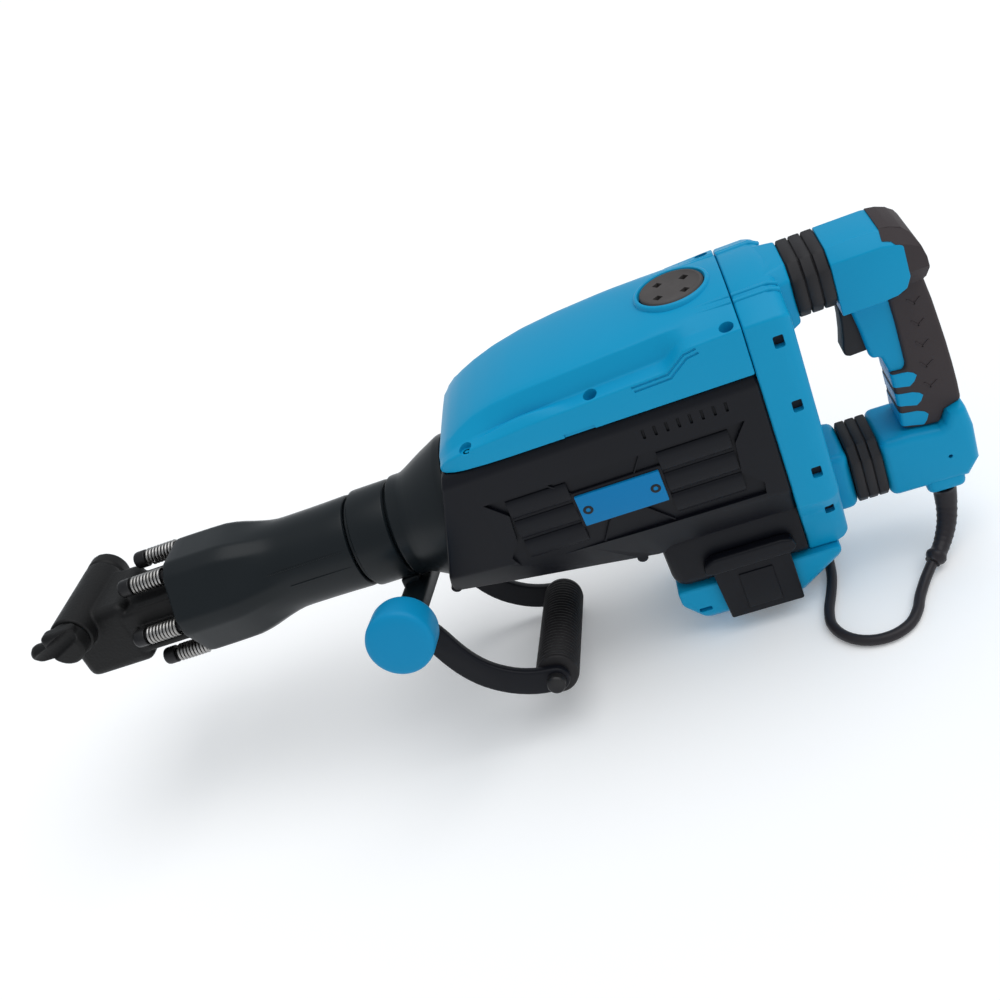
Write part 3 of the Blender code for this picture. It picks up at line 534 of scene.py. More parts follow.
@dataclass(frozen=True)
class Finish:
    """One finish: a base colour with softer patches, and grain in roughness and bump."""

    name: str
    colour: tuple[float, float, float]
    patch: tuple[float, float, float]
    roughness: tuple[float, float]
    grain_scale: float = 900.0
    bump: float = 0.15
    depth: float = 0.00015
    metallic: float = 0.0
    patch_scale: float = 16.0
    patch_amount: float = 0.25
    specular: float = 0.25

    def build(self, grain: GrainGroup) -> Material:
        """Makes the material.

        Args:
            grain: The shared grain group.

        Returns:
            A Principled material whose colour, roughness and normal come from the group.
        """
        material = bpy.data.materials.new(self.name)
        material.use_nodes = True
        nodes, links = material.node_tree.nodes, material.node_tree.links
        shader = nodes["Principled BSDF"]
        set_inputs(shader, {"Metallic": self.metallic, "Specular IOR Level": self.specular})
        effect = nodes.new("ShaderNodeGroup")
        effect.node_tree = grain.tree
        set_inputs(effect, {"Grain Scale": self.grain_scale, "Patch Scale": self.patch_scale,
                            "Patch Amount": self.patch_amount, "Base": (*self.colour, 1.0),
                            "Patch": (*self.patch, 1.0)})
        rough, bump = nodes.new("ShaderNodeMapRange"), nodes.new("ShaderNodeBump")
        set_inputs(rough, {"To Min": self.roughness[0], "To Max": self.roughness[1]})
        set_inputs(bump, {"Strength": self.bump, "Distance": self.depth})
        links.new(effect.outputs["Color"], shader.inputs["Base Color"])
        links.new(effect.outputs["Mask"], rough.inputs["Value"])
        links.new(rough.outputs[0], shader.inputs["Roughness"])
        links.new(effect.outputs["Height"], bump.inputs["Height"])
        links.new(bump.outputs["Normal"], shader.inputs["Normal"])
        return material


class Paint(Enum):
    """The finishes of this tool."""

    BLACK_ENAMEL = Finish("black_enamel", (0.005, 0.008, 0.010), (0.008, 0.011, 0.014),
                          (0.34, 0.5), 700.0, 0.10, 0.0001)
    HOUSING_BLACK = Finish("housing_black", (0.0035, 0.004, 0.007), (0.006, 0.007, 0.011),
                           (0.42, 0.6), 1100.0, 0.16, 0.00012, specular=0.2)
    CAST_BLACK = Finish("cast_black", (0.007, 0.007, 0.0075), (0.016, 0.0155, 0.015),
                        (0.45, 0.75), 420.0, 0.55, 0.0005, 0.25, 30.0, 0.5)
    BLUE_PLASTIC = Finish("blue_plastic", (0.003, 0.300, 0.545), (0.005, 0.325, 0.575),
                          (0.36, 0.46), 1300.0, 0.10, 0.0001, specular=0.14)
    KNOB_BLUE = Finish("knob_blue", (0.003, 0.250, 0.490), (0.006, 0.275, 0.530),
                       (0.40, 0.5), 1300.0, 0.14, 0.0001, specular=0.14)
    PLATE_BLUE = Finish("plate_blue", (0.002, 0.19, 0.45), (0.004, 0.21, 0.48),
                        (0.3, 0.45), 1500.0, 0.08, 0.0001, specular=0.14)
    CAP_GREY = Finish("cap_grey", (0.060, 0.054, 0.052), (0.10, 0.09, 0.088),
                      (0.55, 0.75), 900.0, 0.3, 0.0002, 0.0, 60.0, 0.5)
    GRIP_RUBBER = Finish("grip_rubber", (0.040, 0.031, 0.033), (0.060, 0.050, 0.050),
                         (0.62, 0.8), 1500.0, 0.35, 0.0002)
    BLACK_RUBBER = Finish("black_rubber", (0.020, 0.019, 0.021), (0.036, 0.033, 0.034),
                          (0.55, 0.75), 1200.0, 0.3, 0.0002)
    SLEEVE_RUBBER = Finish("sleeve_rubber", (0.012, 0.011, 0.012), (0.024, 0.022, 0.023),
                           (0.5, 0.7), 1200.0, 0.25, 0.0002)
    LEAD_RUBBER = Finish("lead_rubber", (0.022, 0.019, 0.022), (0.038, 0.034, 0.036),
                         (0.42, 0.6), 1200.0, 0.2, 0.0001)
    SPRING_WIRE = Finish("spring_wire", (0.42, 0.41, 0.40), (0.28, 0.27, 0.25),
                         (0.28, 0.5), 900.0, 0.1, 0.0001, 1.0, 90.0, 0.6)
    DARK_STEEL = Finish("dark_steel", (0.022, 0.022, 0.024), (0.06, 0.058, 0.055),
                        (0.35, 0.55), 800.0, 0.15, 0.0001, 0.6, 60.0, 0.4)
    BRIGHT_STEEL = Finish("bright_steel", (0.62, 0.62, 0.62), (0.45, 0.44, 0.43),
                          (0.2, 0.38), 900.0, 0.08, 0.0001, 1.0)
    MOTOR_STEEL = Finish("motor_steel", (0.34, 0.32, 0.30), (0.2, 0.17, 0.15),
                         (0.4, 0.6), 600.0, 0.2, 0.0002, 0.8)
    FAN_GREY = Finish("fan_grey", (0.2, 0.2, 0.21), (0.15, 0.15, 0.155), (0.5, 0.6))
    # Painted shade: the near-black plates at the backs of the rear cover's screw pockets.
    POCKET_PAINTED_SHADE = Finish("pocket_painted_shade", (0.012, 0.016, 0.022), (0.02, 0.03, 0.04), (0.6, 0.8))


CAD_FINISHES = {
    "black_paint": Paint.BLACK_ENAMEL, "black_plastic": Paint.HOUSING_BLACK,
    "blue_plastic": Paint.BLUE_PLASTIC, "cap_plastic": Paint.CAP_GREY,
    "grey_plastic": Paint.FAN_GREY, "cast_iron": Paint.CAST_BLACK,
    "black_steel": Paint.DARK_STEEL, "bright_steel": Paint.BRIGHT_STEEL,
    "spring_steel": Paint.SPRING_WIRE, "lamination_steel": Paint.MOTOR_STEEL,
    "grip_rubber": Paint.GRIP_RUBBER, "black_rubber": Paint.BLACK_RUBBER,
}


class Workshop:
    def __init__(self) -> None:
        """Builds the finishes and the trees."""
        grain = GrainGroup()
        self.finishes = {paint: paint.value.build(grain) for paint in Paint}
        self.repeat = RepeatTree()
        self.coil = CoilTree()
        self.pieces = 0

    def dress(self, obj: Object, paint: Paint, sharp: float = 32.0) -> Object:
        """Gives a piece one finish, and smooth shading up to an angle in degrees."""
        obj.data.materials.clear()
        obj.data.materials.append(self.finishes[paint])
        obj.data.shade_smooth()
        obj.data.set_sharp_from_angle(angle=math.radians(sharp))
        return obj

    def add(self, obj: Object, body: Body, slot: str, replaces: Sequence[str] = ()
            ) -> Object:
        """Lets a finished piece ride on a body, stand for nodes and take its slot.

        Args:
            obj: The finished piece, in place.
            body: The body it rides on.
            slot: The record's material slot; not used.
            replaces: The nodes that it stands for.

        Returns:
            The piece.
        """
        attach(obj, body.value)
        self.declare(obj, slot, replaces)
        return obj

    def mount(self, obj: Object, place: Matrix, body: Body, slot: str,
              replaces: Sequence[str] = ()) -> Object:
        """Moves a piece made in millimetres to its place, and adds it."""
        return self.add(set_place(obj, place), body, slot, replaces)

    def declare(self, obj: Object, slot: str, replaces: Sequence[str] = ()) -> None:
        """Hides the nodes that a piece stands for, counts the piece and reports it."""
        if replaces:
            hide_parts(*replaces)
        self.pieces += 1
        log.info("%s: %d faces", obj.name, len(obj.data.polygons))

    def dress_nodes(self, frame: dict) -> None:
        """Gives every node that stays its procedural finish."""
        slots = {row["node"]: row["material_slot"] for row in frame["record"]["subparts"]}
        for name, node in frame["nodes"].items():
            finish = self.finishes[CAD_FINISHES[slots[name]]]
            if not node.material_slots:
                node.data.materials.append(finish)
            for slot in node.material_slots:
                slot.material = finish


# ---------------------------------------------------------------- small shared shapes


def mirrored(half: Profile) -> list[tuple[float, float]]:
    """A whole (side, height) outline from its half, given from the middle line round to it."""
    return [*half, *[(-side, up) for side, up in reversed(half) if side != 0]]


def slice_at(station: float, outline: Profile) -> list[Point]:
    """A (side, height) outline at a station."""
    return [(station, side, up) for side, up in outline]


def ridge(name: str, start: tuple[float, float], end: tuple[float, float], width: float,
          foot: float, crest: float) -> Object:
    """A straight bar on a side wall, from one (station, height) to another."""
    along = Vector((end[0] - start[0], end[1] - start[1])).normalized() * width / 2
    across = Vector((-along.y, along.x))
    corners = [Vector(start) - along + across, Vector(start) - along - across,
               Vector(end) + along - across, Vector(end) + along + across]
    return prism(name, [(corner.x, corner.y) for corner in corners], foot, crest)


def cast_over(obj: Object, voxel: float, passes: int) -> Object:
    """Remeshes a piece finely and softens it, which rounds every edge as a casting has them."""
    remesh = obj.modifiers.new("cast", "REMESH")
    remesh.mode = "VOXEL"
    remesh.voxel_size = voxel
    soften = obj.modifiers.new("soften", "SMOOTH")
    soften.factor = 0.5
    soften.iterations = passes
    return apply_modifiers(obj)


def screw_head(name: str, place: Matrix, radius: float, depth: float = 3.0) -> Object:
    """A round screw head with a hexagon recess, its top face towards local Z of the place."""
    head = lathe(name, [(-depth, 0), (-depth, radius), (-0.8, radius), (-0.2, radius * 0.94),
                        (0, radius * 0.8), (0, 0)], None, 28)
    combine(head, [drill("recess", Matrix.Identity(4), radius * 0.5, 2.6, 6)])
    return set_place(head, place)


# ---------------------------------------------------------------- studio


@dataclass
class Studio:
    """Camera, floor and soft light, in metres and degrees."""

    eye: Point = (0.21197, -0.68042, 0.61698)
    azimuth: float = 15.0
    elevation: float = 32.5
    roll: float = 26.4
    lens: float = 40.66
    sensor: float = 36.0
    sky: float = 0.54
    key: float = 1.6
    key_place: Point = (0.36, 0.02, 1.0)
    softness: float = 65.0
    floor_reach: float = 30.0
    floor_level: float = -0.0002
    floor_glow: float = 0.14

    def build(self) -> None:
        """Makes all of it."""
        self.make_camera()
        self.make_floor()
        self.make_light()
        world = bpy.data.worlds.new("studio")
        world.use_nodes = True
        set_inputs(world.node_tree.nodes["Background"],
                   {"Color": (0.90, 0.95, 1.0, 1.0), "Strength": self.sky})
        bpy.context.scene.world = world
        bpy.context.scene.view_settings.view_transform = "Standard"

    def make_camera(self) -> None:
        """Sets the camera, rolled about its own line of sight."""
        azimuth, elevation, roll = (
            math.radians(angle) for angle in (self.azimuth, self.elevation, self.roll))
        right = Vector((math.cos(azimuth), math.sin(azimuth), 0))
        back = Vector((math.sin(azimuth) * math.cos(elevation),
                       -math.cos(azimuth) * math.cos(elevation), math.sin(elevation)))
        up = back.cross(right)
        turned_right = math.cos(roll) * right - math.sin(roll) * up
        turned_up = math.sin(roll) * right + math.cos(roll) * up
        camera = bpy.data.objects.new("camera", bpy.data.cameras.new("camera"))
        camera.data.lens = self.lens
        camera.data.sensor_width = self.sensor
        axes = Matrix((turned_right, turned_up, back)).transposed().to_4x4()
        camera.matrix_world = Matrix.Translation(self.eye) @ axes
        bpy.context.scene.collection.objects.link(camera)
        bpy.context.scene.camera = camera

    def make_floor(self) -> None:
        """A large pale floor under the foot."""
        work = bmesh.new()
        far = self.floor_reach
        work.faces.new([work.verts.new((x, y, self.floor_level))
                        for x, y in ((-far, -far), (far, -far), (far, far), (-far, far))])
        floor = settle("floor", work)
        finish = bpy.data.materials.new("pale_floor")
        finish.use_nodes = True
        set_inputs(finish.node_tree.nodes["Principled BSDF"], {
            "Base Color": (0.93, 0.93, 0.93, 1.0), "Roughness": 0.9, "Specular IOR Level": 0.1,
            "Emission Color": (1.0, 1.0, 1.0, 1.0), "Emission Strength": self.floor_glow})
        floor.data.materials.append(finish)

    def make_light(self) -> None:
        """A broad soft light from far away, towards the origin."""
        light = bpy.data.lights.new("key", "SUN")
        light.energy = self.key
        light.angle = math.radians(self.softness)
        lamp = bpy.data.objects.new("key", light)
        turn = (-Vector(self.key_place)).to_track_quat("-Z", "Y").to_matrix().to_4x4()
        lamp.matrix_world = Matrix.Translation(self.key_place) @ turn
        bpy.context.scene.collection.objects.link(lamp)


# ---------------------------------------------------------------- mains lead


@dataclass
class MainsLead:
    """The lead: its strain relief, its run along the floor, the coil beside the tool, the plug."""

    shop: Workshop
    diameter: float = 8.0
    lift: float = 0.1
    coil_centre: tuple[float, float] = (405.0, 152.0)
    coil_radius: float = 46.0
    pitch: float = 8.3
    plug_station: float = 418.0
    sides: int = 16
    route_spacing: float = 10.0
    fine_spacing: float = 4.5
    relief_route: tuple[Point, ...] = (
        (582, -15.6, -105.6), (582, -15.8, -111), (580, -20, -123), (576.5, -26, -132.5),
        (570.5, -33.5, -140.5), (564, -41, -145), (557, -47.5, -147.4))
    run_knots: Profile = (
        (539.6, -73), (533.5, -87), (525.6, -97.5), (513.3, -103.9), (499.4, -104.5),
        (486.6, -99.2), (477.3, -89), (473.1, -75.8), (475, -61.5), (480, -46), (485, -28),
        (487.5, -8), (488.5, 14), (489, 38), (488.5, 62), (486, 86), (479.5, 107), (464.5, 132))

    @property
    def floor_line(self) -> float:
        """Height of the lead's middle where it lies on the floor."""
        return FLOOR + self.diameter / 2 + self.lift

    def build(self) -> None:
        """Makes the lead with all that is on it."""
        relief = self.make_relief()
        plug = self.make_plug()
        place = tool_place()
        route = self.route()
        fine = [place @ point for point in smooth_curve(route, self.fine_spacing)]
        lead = sweep("mains_lead", fine, [self.diameter / 2 * MM] * len(fine), self.sides)
        self.shop.dress(lead, Paint.LEAD_RUBBER, 80)
        self.shop.add(lead, Body.HANDLE, "black_rubber", ["cord_run", "cord_coil"])

    def route(self) -> list[Vector]:
        """The lead's middle line from the strain relief to the plug, in millimetres."""
        level = self.floor_line
        coil = self.coil_points()
        knots = [Vector((556.2, -48.5, -147.7)), Vector((547, -60.5, -150.6)),
                 *[Vector((x, y, level)) for x, y in self.run_knots], *coil[:3:2]]
        spaced = smooth_curve(knots, self.route_spacing)
        return [*spaced, *coil[3:]]

    def coil_points(self) -> list[Vector]:
        """Three layers of turns, worked from the outside in, out and in again, then the plug."""
        turn, climb = 30.0, 60.0
        tail_start, tail_end, tail_rise = 2685.0, 2774.0, 15.7
        radii = [self.coil_radius + self.pitch * k for k in (1, 0, -1)]
        moves = [(0.0, 0, 0), (turn, 0, 0), (turn + climb, 1, 0), (turn + 360, 1, 0),
                 (turn + 360 + climb, 2, 0), (turn + 1080 - climb, 2, 0), (turn + 1080, 2, 1),
                 (turn + 1440, 2, 1), (turn + 1440 + climb, 1, 1), (turn + 1800, 1, 1),
                 (turn + 1800 + climb, 0, 1), (turn + 2160 - climb, 0, 1), (turn + 2160, 0, 2),
                 (turn + 2520, 0, 2), (turn + 2520 + climb, 1, 2), (tail_start, 1, 2)]
        points = []
        angle = 0.0
        while angle <= tail_start:
            before, after = next(pair for pair in zip(moves, moves[1:]) if angle <= pair[1][0])
            share = step(angle, before[0], after[0])
            radius = radii[before[1]] + (radii[after[1]] - radii[before[1]]) * share
            layer = before[2] + (after[2] - before[2]) * share
            points.append(self.coil_point(angle, radius, layer * self.pitch))
            angle += 15.0
        while angle < tail_end:
            share = step(angle, tail_start, tail_end)
            points.append(self.coil_point(angle, self.coil_radius + 1.8 * share,
                                          2 * self.pitch + tail_rise * share))
            angle += 12.0
        end = Vector((self.plug_station - 26, self.coil_centre[1] - self.coil_radius,
                      self.floor_line + 2 * self.pitch + tail_rise))
        return [*points, end + Vector((-4, 0.2, 0)), end + Vector((4, 0, 0))]

    def coil_point(self, angle: float, radius: float, rise: float) -> Vector:
        """A point of the coil, from its angle in degrees, its radius and its rise."""
        turn = math.radians(angle)
        return Vector((self.coil_centre[0] + radius * math.cos(turn),
                       self.coil_centre[1] + radius * math.sin(turn), self.floor_line + rise))

    def make_relief(self) -> Object:
        """The tapered rubber sleeve under the handle, grooved, with a collar near its end."""
        place = tool_place()
        points = smooth_curve([place @ Vector(p) for p in self.relief_route], 1.6 * MM)
        thick, taper, collar, grooves, groove_depth = 8.6, 2.9, 1.7, 13, 0.45
        radii = []
        for i in range(len(points)):
            share = i / (len(points) - 1)
            radius = thick - taper * share
            radius += collar * step(share, 0.86, 0.885) * (1 - step(share, 0.94, 0.965))
            groove = groove_depth * (0.5 - 0.5 * math.cos(2 * math.pi * share * grooves))
            radius -= groove * step(share, 0.18, 0.24) * (1 - step(share, 0.78, 0.84))
            radii.append(radius * MM)
        relief = sweep("lead_strain_relief", points, radii, 24)
        self.shop.dress(relief, Paint.LEAD_RUBBER, 60)
        return self.shop.add(relief, Body.HANDLE, "black_rubber", ["strain_relief"])

    def make_plug(self) -> Object:
        """A moulded two-pin plug that lies on the coil, its tail towards the lead's end."""
        bottom = FLOOR + 0.4 + 25.0
        side = self.coil_centre[1] - self.coil_radius
        corners, squareness = 32, 0.6
        rings = []
        for station, half_width, low, high in (
                (-38, 5.2, 5.8, 16.2), (-30, 6.0, 5.0, 17.0), (-26, 8.5, 4.0, 18.2),
                (-20, 12.0, 2.8, 19.6), (-8, 16.2, 1.2, 24.4), (8, 17.8, 0.2, 26.0),
                (20, 17.8, 0.1, 26.0), (24, 17.0, 0.9, 25.2)):
            middle, reach = (low + high) / 2, (high - low) / 2
            ring = []
            for k in range(corners):
                turn = 2 * math.pi * k / corners
                across = math.copysign(abs(math.cos(turn)) ** squareness, math.cos(turn))
                up = math.copysign(abs(math.sin(turn)) ** squareness, math.sin(turn))
                ring.append((self.plug_station + station, side + half_width * across,
                             bottom + middle + reach * up))
            rings.append(ring)
        body = self.shop.dress(round_edges(loft("plug", rings), 1.2, 3), Paint.BLACK_RUBBER, 40)
        pins = []
        for offset in (-9.5, 9.5):
            pin = lathe("pin", [(0, 0), (0, 2.4), (17.2, 2.4), (18.6, 1.7), (19, 0)],
                        along_tool(self.plug_station + 23, side + offset, bottom + 13), 20)
            pins.append(self.shop.dress(pin, Paint.BRIGHT_STEEL))
        plug = join("lead_plug", [body, *pins])
        return self.shop.mount(plug, tool_place(), Body.HANDLE, "black_rubber", ["plug"])


# ---------------------------------------------------------------- nose


@dataclass
class Nose:
    """The nose: cover, sprung bolts, cast tool holder and stop lever."""

    shop: Workshop
    bore: float = 31.0
    facet_share: float = 0.93
    facet_run_out: tuple[float, float] = (58.0, 96.0)
    bolts: int = 6
    bolt_step: float = math.radians(60)
    bolt_circle: float = 41.2
    bolt_radius: float = 4.3
    head_radius: float = 7.2
    spring_radius: float = 6.2
    spring_wire: float = 1.15
    spring_turns: float = 9.0
    spring_length: float = 27.0
    lever: tuple[float, float] = (-87.0, 21.5)
    cover_profile: Profile = (
        (0, 44.8), (0.5, 46.2), (1.8, 47.1), (4.5, 47.6), (12, 47.6), (22, 47.5), (34, 47.3),
        (46, 46.9), (54, 45.6), (61, 43.9), (68, 41.8), (75, 39.9), (82, 38.2), (89, 37.1),
        (96, 36.8), (106, 36.8), (118, 36.8), (135, 37.0), (149, 37.3), (151.4, 37.0),
        (152, 36.2))

    def build(self) -> None:
        """Makes every piece of the nose."""
        self.make_cover()
        self.make_bolts()
        self.make_springs()
        self.make_holder()
        self.make_stop_lever()

    def lobe(self, height: float, radius: float, angle: float) -> float:
        """How far a point moves in for the flats between the bolts, which end at the neck."""
        if radius < self.bore + 1:
            return 0.0
        fade = 1 - step(height, *self.facet_run_out)
        off_centre = (angle + math.pi / 6) % (math.pi / 3) - math.pi / 6
        flat = radius * self.facet_share / math.cos(off_centre)
        return fade * min(0.0, flat - radius)

    def make_cover(self) -> None:
        """The black cover, with flats between its bolts and three fine lines along its neck."""
        profile = [*self.cover_profile, (152, self.bore), (0, self.bore)]
        cover = lathe("cover", profile, None, 144, self.lobe)
        tools = []
        for k in range(self.bolts):
            angle = self.bolt_step * (k + 0.5)
            x, y = self.bolt_circle * math.cos(angle), self.bolt_circle * math.sin(angle)
            tools.append(drill("hole", Matrix.Translation((x, y, 4)), self.bolt_radius + 0.4, 40))
            tools.append(drill("seat", Matrix.Translation((x, y, -0.4)), 8.0, 3.0))
        combine(cover, tools)
        cover.data.transform(along_tool())
        self.shop.dress(cover, Paint.BLACK_ENAMEL, 16)
        lines = []
        for start, end, angle in ((76, 146, 68), (96, 149, 90), (84, 146, -112)):
            line = round_edges(block("line", (start, -0.45, 35.5), (end, 0.45, 37.55)), 0.3, 2)
            line.data.transform(Matrix.Rotation(math.radians(angle), 4, "X"))
            lines.append(self.shop.dress(line, Paint.BLACK_ENAMEL))
        shell = join("nose_cover_shell", [cover, *lines])
        self.shop.mount(shell, nose_place(), Body.TOOL, "black_paint", ["nose_cover"])

    def make_bolts(self) -> None:
        """The cap bolts with their hexagon sockets."""
        inner, outer = self.bolt_radius, self.head_radius
        bolt = lathe("cap_bolts", [
            (22, 0), (22, inner), (-30.6, inner), (-30.6, outer - 0.4), (-31.1, outer),
            (-38.2, outer), (-39.8, outer - 0.4), (-40.8, outer - 1.3), (-41.1, outer - 2.4),
            (-41.1, 0)], None, 28)
        combine(bolt, [drill("socket", Matrix.Translation((0, 0, -40)), 3.6, 9.0, 6)])
        bolt.data.transform(self.first_bolt())
        self.shop.repeat.run(bolt, self.bolts, self.shop.finishes[Paint.DARK_STEEL],
                             turn=(self.bolt_step, 0, 0))
        self.shop.dress(bolt, Paint.DARK_STEEL)
        set_place(bolt, nose_place())
        names = [f"nose_bolt_{i + 1}" for i in range(self.bolts)]
        self.shop.add(bolt, Body.TOOL, "black_steel", names)

    def first_bolt(self) -> Matrix:
        """Turns a piece made about local Z onto the first bolt's line."""
        angle = self.bolt_step / 2
        return along_tool(0, -self.bolt_circle * math.sin(angle),
                          self.bolt_circle * math.cos(angle))

    def make_springs(self) -> None:
        """The compression springs under the bolt heads."""
        finish = self.shop.finishes[Paint.SPRING_WIRE]
        spring = self.shop.coil.wind("cap_springs", self.spring_turns, self.spring_radius,
                                     self.spring_wire, self.spring_length, finish)
        spring.data.transform(self.first_bolt() @ Matrix.Translation((0, 0, -28.5)))
        self.shop.repeat.run(spring, self.bolts, finish, turn=(self.bolt_step, 0, 0))
        self.shop.dress(spring, Paint.SPRING_WIRE, 70)
        set_place(spring, nose_place())
        names = [f"nose_spring_{i + 1}" for i in range(self.bolts)]
        self.shop.add(spring, Body.TOOL, "spring_steel", names)

    def make_holder(self) -> None:
        """The cast holder: neck, square body, cross boss with its band, and hexagon socket."""
        holder = lathe("tool_holder_casting", [
            (34, 0), (34, 28.6), (-99, 28.6), (-106, 27), (-111, 23), (-112, 20), (-112, 0)],
            along_tool(), 64)
        body = round_edges(block("body", (-104, -33, -29), (-43, 33, 29)), 8, 4)
        neck = round_edges(block("neck", (-50, -32.6, -20), (-1, 32.6, 20)), 3, 3)
        station, height = self.lever
        boss = lathe("boss", [
            (45, 0), (45, 16.5), (44, 17.5), (-36, 17.5), (-37, 16.4), (-39, 16.4), (-40, 17.6),
            (-50, 17.6), (-52, 15.6), (-52, 0)], across_tool(station, 0, height), 64)
        combine(holder, [body, neck, boss], "UNION")
        tools = [drill("socket", along_tool(-76) @ Matrix.Rotation(math.radians(30), 4, "Z"),
                       30.6 / math.sqrt(3), 108, 6),
                 drill("bore", along_tool(6), 15.6, 64, 48),
                 drill("lever_bore", across_tool(station, 0, height), 8.4, 120, 48),
                 block("pocket", (-41, -36, -14), (-8, -30.8, 6)),
                 block("far_pocket", (-41, 30.8, -14), (-8, 36, 6))]
        combine(holder, tools)
        cast_over(holder, 1.0, 3)
        self.shop.dress(holder, Paint.CAST_BLACK, 60)
        self.shop.mount(holder, nose_place(), Body.TOOL, "cast_iron", ["tool_holder"])

    def make_stop_lever(self) -> None:
        """The cross shaft, with the scooped hub and the thumb stub on its near end."""
        station, height = self.lever
        axis = across_tool(station, 0, height)
        lever = lathe("stop_lever_casting", [
            (60, 0), (60, 13), (58, 15.2), (55, 15.5), (45.5, 15.5), (45.5, 8), (-54, 8),
            (-54, 0)], axis, 48)
        stub = lathe("stub", [(-8, 0), (-8, 7.6), (26, 7.6), (29, 6.6), (32, 3.6), (33, 0)],
                     axis @ Matrix.Translation((0, 0, 52)) @ Matrix.Rotation(-math.pi / 2, 4, "Y"),
                     32)
        lip = round_edges(block("lip", (station - 15, -60, height - 4),
                                (station + 13, -46, height + 15.4)), 4, 3)
        combine(lever, [stub, lip], "UNION")
        scoop = drill("scoop", Matrix.Translation((station - 2, -61.5, height + 5))
                      @ Matrix.Rotation(math.radians(68), 4, "Y"), 6.5, 60, 40)
        flat = block("flat", (station - 12, -14, height + 4.5), (station + 12, 14, height + 12))
        combine(lever, [scoop, flat])
        cast_over(lever, 0.8, 3)
        self.shop.dress(lever, Paint.CAST_BLACK, 60)
        self.shop.mount(lever, nose_place(), Body.LEVER, "cast_iron", ["stop_lever"])


# ---------------------------------------------------------------- housings


@dataclass
class Barrel:
    """The cylinder case, which flares out to the flange of the housing."""

    shop: Workshop
    profile: Profile = (
        (152.6, 30.2), (152.6, 34.2), (153.4, 35), (188, 35), (189.2, 35.4), (190, 39.4),
        (190.8, 40.2), (192, 40.4), (198, 40.4), (201, 41.1), (206, 43.4), (213, 47.0),
        (221, 51), (229, 54.6), (236, 57.8), (238.5, 58.5), (243, 58.5), (245, 56.4), (246, 54),
        (246, 30.2))

    def build(self) -> None:
        """Makes the case."""
        case = lathe("cylinder_case_shell", self.profile, along_tool(), 128)
        self.shop.dress(case, Paint.BLACK_ENAMEL, 30)
        self.shop.mount(case, tool_place(), Body.TOOL, "black_paint", ["cylinder_case"])


